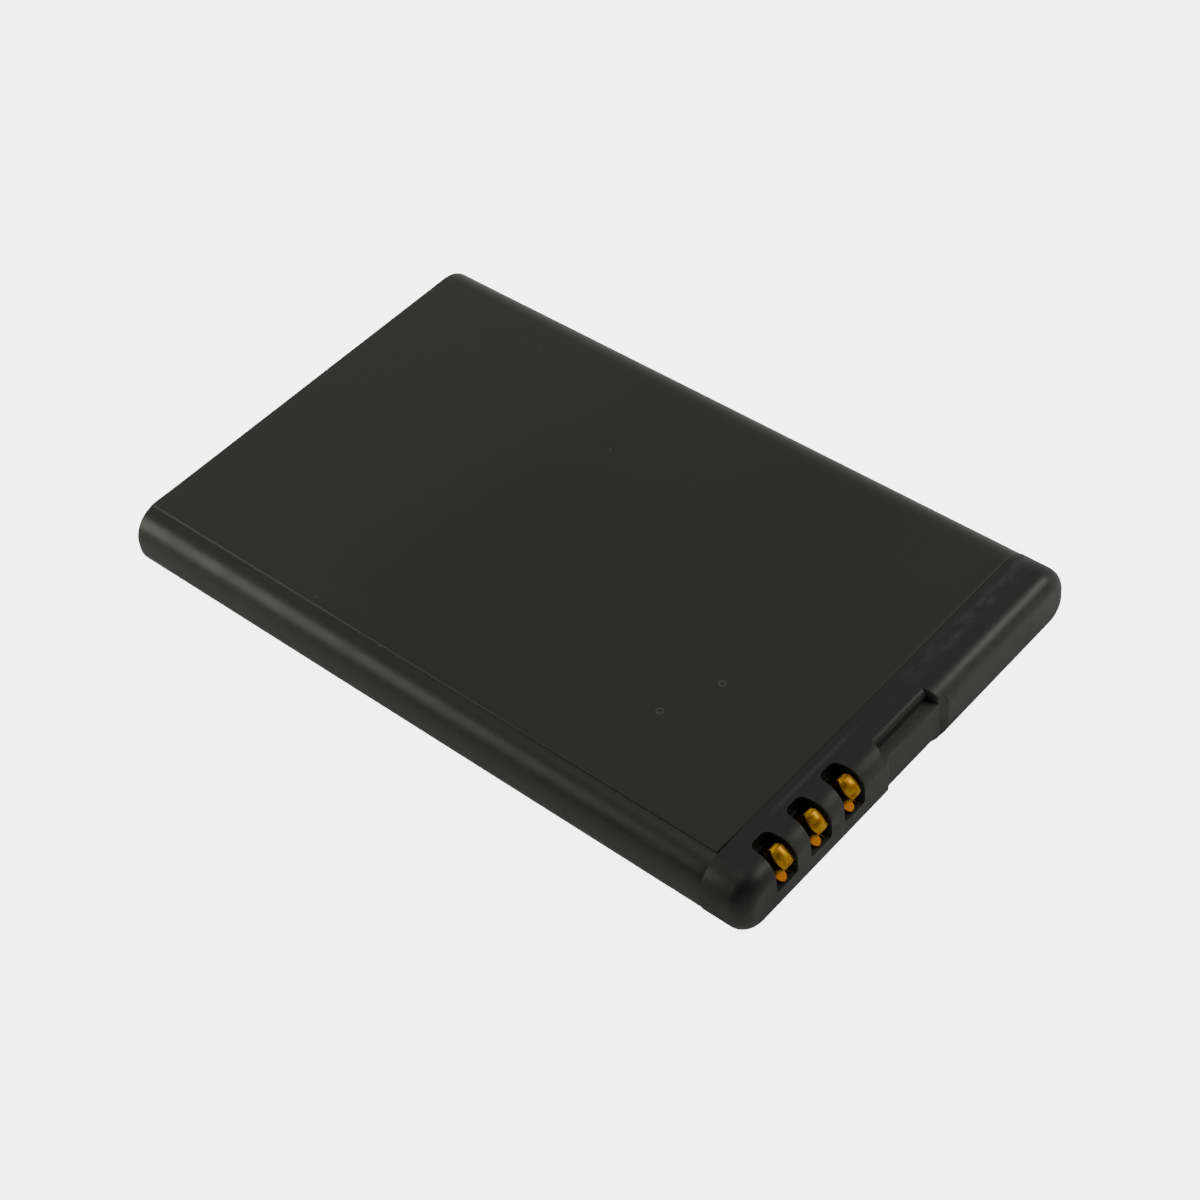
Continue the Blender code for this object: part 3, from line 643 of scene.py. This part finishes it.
def crown_nose(bm, middle_y):
    """Swells the slope outwards and narrows its ends."""
    run = nose - crest
    swell_way = Vector((-run.z, 0, run.x)).normalized()
    for vert in bm.verts:
        flat = Vector((vert.co.x, 0, vert.co.z))
        beyond = min((flat - crest).length, (flat - nose).length) / END_RUN
        along = (flat - crest).dot(run) / run.length_squared
        on_slope = abs((flat - crest).dot(swell_way)) < AT_FACE and 0 < along < 1
        on_neck = flat.x < crest.x and flat.z > NECK_Z
        if beyond > 1 and not on_slope and not on_neck:
            continue
        swell = 1 - (2 * along - 1) ** 2 if on_slope else 0.0
        across = 2 * (vert.co.y - middle_y) / NOSE_WIDTH
        share = END_SHARE + (1 - END_SHARE) * (math.sqrt(swell) if on_slope else min(1.0, beyond))
        share = min(share, NECK_SHARE) if on_neck else share
        vert.co.y = middle_y + (vert.co.y - middle_y) * share
        vert.co += swell_way * CROWN * swell * max(0.0, 1 - across**2)


def lean_nose(bm):
    """Moves the nose to the far side, more and more from the crest to the nose and none at the tuck."""
    for vert in bm.verts:
        forward = min(1.0, max(0.0, (vert.co.x - crest.x) / (nose.x - crest.x)))
        above = min(1.0, max(0.0, (vert.co.z - TUCK_Z) / (nose.z - TUCK_Z)))
        vert.co.y += LEAN * forward * above


def narrow_tip(bm, low_y, high_y):
    """Rounds the outer half of the tail."""
    middle_y = (low_y + high_y) / 2
    run = tip - tuck
    for vert in bm.verts:
        along = (vert.co - tuck).dot(run) / run.length_squared
        if vert.co.z < TUCK_Z and along > 0:
            to_tip = min(1.0, max(0.0, 2 * along - 1))
            share = max(TIP_SHARE, math.sqrt(1 - to_tip**2))
            vert.co.y = middle_y + (vert.co.y - middle_y) * share


print("slope from crest to nose:", round((nose - crest).length / MM, 2), "mm")

# %% [markdown]
# The sheet is bent, crowned, given its thickness by a Solidify modifier, and its cut edges are softened by
# a Bevel modifier. The strip keeps both modifiers live, so that either can still be changed.

# %% Contacts: three strips
STRIP_THICKNESS = 0.16 * MM
SOFT_EDGE = 0.03 * MM
SLOPE_ROWS = 10
TAIL_ROWS = 6
OUTER_TAIL_X = tip.x - 0.1 * MM
contacts = []
for name in ("contact_positive", "contact_data", "contact_negative"):
    strip_bm, nose_middle = make_sheet(name)
    bend_contact(strip_bm)
    cut_rows(strip_bm, crest, nose, SLOPE_ROWS)
    cut_rows(strip_bm, tuck, tip, TAIL_ROWS)
    crown_nose(strip_bm, nose_middle)
    lean_nose(strip_bm)
    tail = [v.co.y for v in strip_bm.verts if v.co.z < TUCK_Z and v.co.x > OUTER_TAIL_X]
    narrow_tip(strip_bm, min(tail), max(tail))
    strip = make_piece(f"{name}_strip", strip_bm, "gold", name)
    thicken = strip.modifiers.new("strip thickness", "SOLIDIFY")
    thicken.thickness = STRIP_THICKNESS
    thicken.offset = 0.0
    thicken.use_even_offset = True
    soften = strip.modifiers.new("soft cut edges", "BEVEL")
    soften.width = SOFT_EDGE
    soften.segments = 2
    soften.limit_method = "ANGLE"
    soften.angle_limit = math.radians(50)
    contacts.append(strip)
print("contacts:", len(contacts))

# %% [markdown]
# Now the finishes. A few small helpers keep the node work readable. The first adds a node: its settings
# come by name, and each input gets a plain value or another node's socket. The rest wrap the commonest
# nodes.

# %% Node helpers


def add(tree, kind, feeds=None, **settings):
    """New node of a kind, with its settings. Feeds are plain values, or sockets to join to its inputs."""
    made = tree.nodes.new(kind)
    for name, value in settings.items():
        setattr(made, name, value)
    for label, value in (feeds or {}).items():
        if isinstance(value, bpy.types.NodeSocket):
            tree.links.new(value, made.inputs[label])
        else:
            made.inputs[label].default_value = value
    return made


def maths(tree, operation, *values, clamp=False):
    """Result of a Math node on plain numbers or sockets."""
    feeds = dict(enumerate(values))
    return add(tree, "ShaderNodeMath", feeds, operation=operation, use_clamp=clamp).outputs[0]


def vectors(tree, operation, first, second, output="Vector"):
    """Result of a Vector Math node on two vectors."""
    return add(tree, "ShaderNodeVectorMath", {0: first, 1: second}, operation=operation).outputs[output]


def smooth_step(tree, value, start, end, low=0.0, high=1.0):
    """Number that goes smoothly from low to high while a value goes from start to end."""
    feeds = {"Value": value, "From Min": start, "From Max": end, "To Min": low, "To Max": high}
    return add(tree, "ShaderNodeMapRange", feeds, interpolation_type="SMOOTHSTEP").outputs["Result"]


def noise_at(tree, place, scale, detail=2.0):
    """Noise texture of a scale, from 0 to 1."""
    feeds = {"Vector": place, "Scale": scale, "Detail": detail}
    return add(tree, "ShaderNodeTexNoise", feeds).outputs["Fac"]


# %% [markdown]
# A material starts with a Principled shader and a place on the object itself, in millimetres, so that its
# pattern stays with the piece. What several materials share is a node group: a helper starts one, another
# ends it, and a third puts it into a material with that material's own values.

# %% Materials and groups


def start_material(name, colour, roughness, metallic=0.0):
    """Material with a Principled shader, and object coordinates scaled to millimetres."""
    made = bpy.data.materials.new(name)
    made.use_nodes = True
    made.diffuse_color = (*colour, 1)
    tree = made.node_tree
    shader = tree.nodes["Principled BSDF"]
    shader.inputs["Base Color"].default_value = (*colour, 1)
    shader.inputs["Roughness"].default_value = roughness
    shader.inputs["Metallic"].default_value = metallic
    place = add(tree, "ShaderNodeTexCoord").outputs["Object"]
    scaled = add(tree, "ShaderNodeMapping", {"Vector": place, "Scale": (1 / MM, 1 / MM, 1 / MM)})
    return made, tree, shader, scaled.outputs["Vector"]


def start_group(name, inputs, output):
    """Node group with a vector input called Place, float inputs with defaults, and one float output."""
    tree = bpy.data.node_groups.new(name, "ShaderNodeTree")
    tree.interface.new_socket("Place", in_out="INPUT", socket_type="NodeSocketVector")
    for label, value in inputs.items():
        socket = tree.interface.new_socket(label, in_out="INPUT", socket_type="NodeSocketFloat")
        socket.default_value = value
    tree.interface.new_socket(output, in_out="OUTPUT", socket_type="NodeSocketFloat")
    return tree, add(tree, "NodeGroupInput").outputs


def end_group(tree, result):
    """Puts a group's result out."""
    add(tree, "NodeGroupOutput", {0: result})
    print("group:", tree.name)


def use_group(tree, group, place, **values):
    """Places a group in a material with its own values, and hands back what it puts out."""
    feeds = {label.replace("_", " "): value for label, value in values.items()}
    return add(tree, "ShaderNodeGroup", {"Place": place, **feeds}, node_tree=group).outputs[0]


# %% [markdown]
# No black plastic is one black. The first shared effect is a soft cloudiness: noise at one scale,
# squeezed between two limits into a mask from 0 to 1. Film, cap and metal all use it with their own
# scale.

# %% Shared effect: cloudiness
cloud_group, given = start_group("cloudiness", {"Scale": 0.2, "Low": 0.35, "High": 0.65}, "Mask")
cloud_noise = noise_at(cloud_group, given["Place"], given["Scale"], detail=4.0)
end_group(cloud_group, smooth_step(cloud_group, cloud_noise, given["Low"], given["High"]))

# %% [markdown]
# The second shared effect is the fine grain that makes plastic matt. Two sizes of noise are added, and
# the sum goes to a Bump node in the material. A group may give out a height, but the Bump node stays with
# the shader.

# %% Shared effect: fine grain
COARSE_SCALE = 0.17
grain_group, given = start_group("fine grain", {"Scale": 12.0, "Coarse": 0.5}, "Height")
fine_noise = noise_at(grain_group, given["Place"], given["Scale"], detail=3.0)
coarse_scale = maths(grain_group, "MULTIPLY", given["Scale"], COARSE_SCALE)
coarse_noise = noise_at(grain_group, given["Place"], coarse_scale)
coarse_part = maths(grain_group, "MULTIPLY", coarse_noise, given["Coarse"])
end_group(grain_group, maths(grain_group, "ADD", fine_noise, coarse_part))

# %% [markdown]
# Dust shows on black. A Voronoi texture gives each cell a random colour and a distance to its middle: a
# speck is where the distance is small, and only the few cells whose random value passes a limit get one.

# %% Shared effect: dust specks
dust_group, given = start_group("dust specks", {"Scale": 0.5, "Size": 0.05, "Share": 0.3}, "Mask")
cells = add(dust_group, "ShaderNodeTexVoronoi", {"Vector": given["Place"], "Scale": given["Scale"]})
chance = add(dust_group, "ShaderNodeSeparateColor", {"Color": cells.outputs["Color"]}).outputs
is_chosen = maths(dust_group, "LESS_THAN", chance["Red"], given["Share"])
speck_size = maths(dust_group, "MULTIPLY", chance["Green"], given["Size"])
speck = smooth_step(dust_group, cells.outputs["Distance"], 0.0, speck_size, low=1.0, high=0.0)
end_group(dust_group, maths(dust_group, "MULTIPLY", speck, is_chosen))

# %% [markdown]
# Some marks follow a line: the pale cut edge of the film, or a smear beside a step. The next effect is a
# band across Y, with a middle, a half width and a soft edge. A Mapping node can turn the place by a quarter
# turn first, and then the same band runs across X.

# %% Shared effect: band
band_group, given = start_group("band", {"Middle": 0.0, "Half Width": 0.05, "Soft": 0.05}, "Mask")
across = add(band_group, "ShaderNodeSeparateXYZ", {"Vector": given["Place"]}).outputs["Y"]
offset = maths(band_group, "ABSOLUTE", maths(band_group, "SUBTRACT", across, given["Middle"]))
outer = maths(band_group, "ADD", given["Half Width"], given["Soft"])
end_group(band_group, smooth_step(band_group, offset, given["Half Width"], outer, low=1.0, high=0.0))

# %% [markdown]
# Two faint rings lie on the film, left by drops that dried. A ring is where the distance from its middle is
# close to its radius. The place is flattened first, so that the ring is measured in the plane of the film.

# %% Shared effect: ring mark
ring_inputs = {"Middle X": 0.0, "Middle Y": 0.0, "Radius": 0.22, "Line": 0.07}
ring_group, given = start_group("ring mark", ring_inputs, "Mask")
ring_middle = add(ring_group, "ShaderNodeCombineXYZ", {"X": given["Middle X"], "Y": given["Middle Y"]})
flattened = vectors(ring_group, "MULTIPLY", given["Place"], (1, 1, 0))
reach = vectors(ring_group, "DISTANCE", flattened, ring_middle.outputs[0], output="Value")
offset = maths(ring_group, "ABSOLUTE", maths(ring_group, "SUBTRACT", reach, given["Radius"]))
end_group(ring_group, smooth_step(ring_group, offset, 0.0, given["Line"], low=1.0, high=0.0))

# %% [markdown]
# Materials put these masks together with a few more steps: a gradient along the pack, the upper half, a
# product or the larger of two masks, a number or a colour set by a mask, and a grain on the normal.

# %% Mask helpers


def along_axis(tree, place, axis, start, end):
    """Mask that rises from 0 at start to 1 at end, in millimetres along an axis."""
    position = add(tree, "ShaderNodeSeparateXYZ", {"Vector": place}).outputs[axis]
    return smooth_step(tree, position, start, end)


def upper_half(tree, place):
    """Mask of everything above the middle of the pack's height."""
    return along_axis(tree, place, "Z", 2.3, 2.5)


def turned(tree, place):
    """The place turned by a quarter turn, so that X takes the part of Y."""
    feeds = {"Vector": place, "Rotation": (0, 0, math.pi / 2)}
    return add(tree, "ShaderNodeMapping", feeds).outputs["Vector"]


def product(tree, first, *others):
    """Several masks as one that shows where all of them do. A plain number makes it fainter."""
    for other in others:
        first = maths(tree, "MULTIPLY", first, other, clamp=True)
    return first


def larger(tree, first, second):
    """Two masks as one that shows where either does."""
    return maths(tree, "MAXIMUM", first, second, clamp=True)


def between(tree, mask, low, high):
    """Number from low to high, as a mask goes from 0 to 1."""
    feeds = {"Value": mask, "To Min": low, "To Max": high}
    return add(tree, "ShaderNodeMapRange", feeds).outputs["Result"]


def lay_over(tree, under, mask, colour):
    """Colour laid over another one where a mask says so."""
    feeds = {"Factor": mask, "A": under, "B": (*colour, 1)}
    return add(tree, "ShaderNodeMix", feeds, data_type="RGBA").outputs["Result"]


def two_tones(tree, mask, first, second):
    """First colour where a mask is 0, second where it is 1."""
    return lay_over(tree, (*first, 1), mask, second)


def add_grain(tree, shader, place, scale, coarse, strength, depth):
    """Grain on the normal of a shader, as deep as depth."""
    height = use_group(tree, grain_group, place, Scale=scale, Coarse=coarse)
    bump = add(tree, "ShaderNodeBump", {"Height": height, "Strength": strength, "Distance": depth})
    tree.links.new(bump.outputs["Normal"], shader.inputs["Normal"])


# %% [markdown]
# The film's dark olive-grey shifts a little in clouds, and a painted sheen makes it paler towards both
# ends, for how the light falls along the top. The cut edge of the overlap shows its pale core together with
# a painted highlight, which fades towards the front as the side light does; the front edge gets a painted
# highlight that grows towards the far side. Dust gathers towards the back as well. Places along the pack
# are in millimetres from its middle.

# %% Finish: matt black film
PAINTED_SHEEN = (0.0175, 0.0182, 0.0125)
PALE_CORE_AND_HIGHLIGHT = (0.085, 0.086, 0.080)
DUST = (0.085, 0.085, 0.080)
DRIED_DROP = (0.075, 0.075, 0.070)
RING_PLACES = ((15.4, -4.5), (13.7, -8.6))
film_finish, tree, shader, place = start_material("matt film", (0.014, 0.014, 0.010), 0.42)
shader.inputs["Specular IOR Level"].default_value = 0.40
clouds = use_group(tree, cloud_group, place, Scale=0.11, Low=0.3, High=0.7)
tone = two_tones(tree, clouds, (0.0086, 0.0089, 0.0055), (0.0106, 0.0110, 0.0070))
# Painted sheen: the film is paler towards both ends, for how the light falls along the top.
back_sheen = product(tree, along_axis(tree, place, "X", -4.0, -16.0), 0.55)
front_sheen = product(tree, along_axis(tree, place, "X", 6.0, 22.0), 0.35)
colour = lay_over(tree, tone, larger(tree, back_sheen, front_sheen), PAINTED_SHEEN)
on_top = upper_half(tree, place)
# The overlap's cut edge: its pale core together with a painted highlight, fading towards the front as the
# side light does.
seam_line = use_group(tree, band_group, place, Middle=SEAM_Y / MM, Half_Width=0.03, Soft=0.05)
seam = product(tree, seam_line, on_top, along_axis(tree, place, "X", 26.0, -26.0))
# The front edge gets a painted highlight, stronger towards the far side where the front light falls.
front_edge = along_axis(tree, place, "X", film_front_x / MM - 0.25, film_front_x / MM - 0.15)
highlight_to_far_side = product(tree, along_axis(tree, place, "Y", -6.0, 14.0), 0.22)
colour = lay_over(tree, colour, larger(tree, seam, product(tree, front_edge, highlight_to_far_side)), PALE_CORE_AND_HIGHLIGHT)
speck_share = between(tree, along_axis(tree, place, "X", 0.0, -20.0), 0.025, 0.10)
specks = use_group(tree, dust_group, place, Scale=0.9, Size=0.12, Share=speck_share)
colour = lay_over(tree, colour, specks, DUST)
for middle_x, middle_y in RING_PLACES:
    ring_mark = use_group(tree, ring_group, place, Middle_X=middle_x, Middle_Y=middle_y)
    colour = lay_over(tree, colour, product(tree, ring_mark, on_top, 0.9), DRIED_DROP)
tree.links.new(colour, shader.inputs["Base Color"])
handled = use_group(tree, cloud_group, place, Scale=0.45, Low=0.3, High=0.75)
tree.links.new(between(tree, handled, 0.33, 0.39), shader.inputs["Roughness"])
add_grain(tree, shader, place, scale=14.0, coarse=0.6, strength=0.25, depth=0.01 * MM)
film.data.materials.append(film_finish)

# %% [markdown]
# The cap is a harder plastic with a cooler, slightly green black and a satin face. Its own marks are smears
# of dried adhesive on the far part of the top, in front of the film's edge: a cloud mask that only counts
# inside a band along the cap. Behind the contacts the adhesive is one thin line. The front wall gets a
# painted sheen in clouds, standing in for the bright floor it reflects, except at the near corner, and the
# zone round the contacts is duller than the rest.

# %% Finish: satin moulding
DRIED_ADHESIVE = (0.030, 0.034, 0.032)
PAINTED_FLOOR_SHEEN = (0.025, 0.026, 0.025)
cap_finish, tree, shader, place = start_material("satin moulding", (0.006, 0.007, 0.006), 0.44)
shader.inputs["Specular IOR Level"].default_value = 0.42
clouds = use_group(tree, cloud_group, place, Scale=0.25, Low=0.3, High=0.7)
tone = two_tones(tree, clouds, (0.0026, 0.0036, 0.0028), (0.0040, 0.0052, 0.0042))
drawn_out = add(tree, "ShaderNodeMapping", {"Vector": place, "Scale": (1.0, 0.5, 1.0)}).outputs["Vector"]
smear_cloud = use_group(tree, cloud_group, drawn_out, Scale=1.7, Low=0.35, High=0.80)
smear_band = use_group(tree, band_group, turned(tree, place), Middle=24.5, Half_Width=0.25, Soft=0.6)
smear = product(tree, smear_cloud, smear_band, along_axis(tree, place, "Y", -1.0, 8.0))
thin_line = use_group(tree, band_group, turned(tree, place), Middle=24.32, Half_Width=0.06, Soft=0.14)
line_start = along_axis(tree, place, "Y", -12.0, -9.5)
line_end = along_axis(tree, place, "Y", -1.0, -5.0)
adhesive = larger(tree, smear, product(tree, thin_line, line_start, line_end, 0.5))
colour = lay_over(tree, tone, product(tree, adhesive, upper_half(tree, place)), DRIED_ADHESIVE)
# Painted sheen: the front wall is lighter in clouds, standing in for the bright floor that it reflects,
# except at the near corner.
sheen_cloud = use_group(tree, cloud_group, place, Scale=0.5, Low=0.15, High=0.5)
front_wall = along_axis(tree, place, "X", 26.1, 26.9)
past_corner = along_axis(tree, place, "Y", -14.5, -12.0)
colour = lay_over(tree, colour, product(tree, sheen_cloud, front_wall, past_corner), PAINTED_FLOOR_SHEEN)
tree.links.new(colour, shader.inputs["Base Color"])
near_corner = along_axis(tree, place, "Y", -13.0, -15.5)
far_half = along_axis(tree, place, "Y", -4.0, 9.0)
roughness = between(tree, larger(tree, near_corner, far_half), 0.53, 0.43)
tree.links.new(roughness, shader.inputs["Roughness"])
add_grain(tree, shader, place, scale=9.0, coarse=0.8, strength=0.3, depth=0.012 * MM)
cap.data.materials.append(cap_finish)

# %% [markdown]
# Gold plating is a metal, so its colour lives in the reflection. Light worn patches let the colour of the
# strip under it through, the tail is painted a deeper orange for the light that bounces between the gold
# and the floor in the slot, and tiny pits roughen it.

# %% Finish: gold plating
PAINTED_BOUNCE_ORANGE = (0.27, 0.085, 0.006)
gold_finish, tree, shader, place = start_material("gold plating", (0.50, 0.27, 0.02), 0.48, 1.0)
worn = use_group(tree, cloud_group, place, Scale=2.6, Low=0.42, High=0.62)
tone = two_tones(tree, worn, (0.58, 0.32, 0.016), (0.36, 0.16, 0.010))
# Painted reflection: the tail's deeper orange stands for light bouncing between gold and floor in the slot.
colour = lay_over(tree, tone, along_axis(tree, place, "Z", 2.95, 2.65), PAINTED_BOUNCE_ORANGE)
tree.links.new(colour, shader.inputs["Base Color"])
add_grain(tree, shader, place, scale=7.0, coarse=1.0, strength=0.3, depth=0.01 * MM)
for strip in contacts:
    strip.data.materials.append(gold_finish)

# %% [markdown]
# The inner pieces keep their solids. Each still gets a finish of its own: two close tones mixed by the
# cloud mask, and a grain at the scale of that material. A row of the table gives the name, the light and
# the dark tone, the roughness, the share of metal, the scales of clouds and grain, and the grain's depth in
# millimetres.

# %% Finish: the inner pieces


def inner_finish(name, light, dark, roughness, metallic, cloud_scale, grain_scale, depth):
    """Finish with two tones and a grain, from the shared effects."""
    made, tree, shader, place = start_material(name, light, roughness, metallic)
    clouds = use_group(tree, cloud_group, place, Scale=cloud_scale)
    tree.links.new(two_tones(tree, clouds, light, dark), shader.inputs["Base Color"])
    add_grain(tree, shader, place, scale=grain_scale, coarse=0.5, strength=0.4, depth=depth * MM)
    return made


inner_rows = {
    "can": ("drawn aluminium", (0.62, 0.63, 0.64), (0.52, 0.53, 0.55), 0.38, 1.0, 0.3, 6.0, 0.01),
    "nickel": ("nickel strip", (0.55, 0.54, 0.51), (0.44, 0.43, 0.40), 0.32, 1.0, 0.8, 10.0, 0.01),
    "pad": ("black pad", (0.02, 0.02, 0.02), (0.012, 0.012, 0.012), 0.60, 0.0, 0.5, 8.0, 0.02),
    "tape": ("tissue tape", (0.72, 0.70, 0.64), (0.62, 0.60, 0.54), 0.80, 0.0, 0.6, 5.0, 0.03),
    "gasket": ("gasket plastic", (0.75, 0.74, 0.70), (0.66, 0.65, 0.60), 0.50, 0.0, 1.0, 9.0, 0.01),
    "fibre": ("fibre sheet", (0.55, 0.50, 0.38), (0.44, 0.39, 0.28), 0.90, 0.0, 1.2, 4.0, 0.03),
    "fuse": ("fuse moulding", (0.05, 0.05, 0.055), (0.034, 0.034, 0.038), 0.50, 0.0, 0.9, 9.0, 0.01),
    "board": ("board lacquer", (0.009, 0.011, 0.009), (0.006, 0.008, 0.006), 0.40, 0.0, 0.7, 3.0, 0.01),
    "chip": ("chip moulding", (0.02, 0.02, 0.022), (0.013, 0.013, 0.014), 0.55, 0.0, 1.5, 12.0, 0.01),
    "resistor": ("resistor glaze", (0.03, 0.03, 0.035), (0.02, 0.02, 0.024), 0.35, 0.0, 2.0, 6.0, 0.01),
    "capacitor": ("fired ceramic", (0.36, 0.24, 0.14), (0.29, 0.18, 0.10), 0.50, 0.0, 2.0, 9.0, 0.01),
}
finishes = {slot: inner_finish(*row) for slot, row in inner_rows.items()}
finishes.update(film=film_finish, cap=cap_finish, gold=gold_finish)
for subpart in frame["record"]["subparts"]:
    node = frame["nodes"][subpart["node"]]
    finish = finishes[subpart["material_slot"]]
    if node.material_slots:
        node.material_slots[0].material = finish
    else:
        node.data.materials.append(finish)

# %% [markdown]
# The stage is plain: a pale floor and soft light. Black plastic needs little light, so the floor would come
# out grey. A Light Path node lets it glow for the camera's own rays: it looks nearly white, and sends the
# pack hardly more light than a plain floor does.

# %% Stage: floor
FLOOR_SIZE = 2.0
FLOOR_GLOW = 5.0
GLOW_LEFT = 0.004
floor_bm = bmesh.new()
bmesh.ops.create_grid(floor_bm, x_segments=1, y_segments=1, size=FLOOR_SIZE)
floor = make_piece("floor", floor_bm, None)
floor_finish, tree, shader, place = start_material("pale floor", (0.85, 0.85, 0.85), 0.6)
seen = add(tree, "ShaderNodeLightPath").outputs["Is Camera Ray"]
tree.links.new(between(tree, seen, GLOW_LEFT, 1.0), shader.inputs["Emission Color"])
shader.inputs["Emission Strength"].default_value = FLOOR_GLOW
floor.data.materials.append(floor_finish)

# %% [markdown]
# A pack that lies flat shows its form by its highlights. One soft light stands low at the back of the near
# side and draws the bright line along the film, one stands over the far front corner and draws the line
# along the cap, and a weak one above lifts the flat faces.

# %% Stage: lights
AIM = Vector((0.002, 0.0, 0.002))
LIGHT_TINT = (0.98, 1.0, 0.90)
LIGHT_DISTANCE = 0.8


def soft_light(name, direction, width, height, power):
    """Rectangular area light that faces the pack from a direction."""
    light = bpy.data.lights.new(name, "AREA")
    light.shape = "RECTANGLE"
    light.size = width
    light.size_y = height
    light.color = LIGHT_TINT
    light.energy = power
    lamp = bpy.data.objects.new(name, light)
    bpy.context.scene.collection.objects.link(lamp)
    lamp.location = AIM + Vector(direction).normalized() * LIGHT_DISTANCE
    lamp.rotation_euler = (lamp.location - AIM).to_track_quat("Z", "Y").to_euler()


soft_light("side light", (-0.68, -0.62, 0.35), width=0.30, height=0.42, power=1.75)
soft_light("front light", (0.56, 0.60, 0.64), width=0.30, height=0.34, power=2.1)
soft_light("top light", (-0.22, -0.20, 0.95), width=0.30, height=0.30, power=0.38)
print("lights:", len(bpy.data.lights))

# %% [markdown]
# A black thing also shows what surrounds it. The room is dark on the photographer's side and bright on the
# far side, with a pale patch low down behind the camera. Both come from the direction of a ray: the dot
# product with an axis says how far it points that way.

# %% Stage: the room
FAR_WAY = (-0.5, 0.85, 0.0)
PATCH_WAY = (0.707, -0.707, 0.0)
world = bpy.data.worlds.new("studio")
bpy.context.scene.world = world
world.use_nodes = True
sky = world.node_tree
background = sky.nodes["Background"]
background.inputs["Strength"].default_value = 1.0
ray = add(sky, "ShaderNodeTexCoord").outputs["Generated"]
far_share = vectors(sky, "DOT_PRODUCT", ray, FAR_WAY, output="Value")
far_room = smooth_step(sky, far_share, -0.7, 0.3, low=0.06, high=0.62)
patch_share = vectors(sky, "DOT_PRODUCT", ray, PATCH_WAY, output="Value")
low_patch = smooth_step(sky, patch_share, 0.72, 0.97, high=0.25)
sky.links.new(maths(sky, "ADD", far_room, low_patch), background.inputs["Color"])

# %% [markdown]
# The camera stands where the photograph was taken from: above the contact corner, looking down at about
# 46 degrees. Its three axes go straight into a matrix, which also keeps the slight roll of the hand that
# held it.

# %% Camera
CAMERA_PLACE = (0.087882, -0.083540, 0.125278)
camera_data = bpy.data.cameras.new("camera")
camera_data.sensor_width = 36.0
camera_data.lens = 76.82
camera_data.clip_start = 0.01
camera_data.clip_end = 10
camera = bpy.data.objects.new("camera", camera_data)
bpy.context.scene.collection.objects.link(camera)
right = Vector((0.75295, 0.65204, -0.08899)).normalized()
back = Vector((0.49999, -0.47888, 0.72159)).normalized()
up = back.cross(right).normalized()
turn = Matrix((right, up, back)).transposed().to_4x4()
camera.matrix_world = Matrix.Translation(CAMERA_PLACE) @ turn
bpy.context.scene.camera = camera
print("camera stands", round(camera.location.length, 3), "m away")
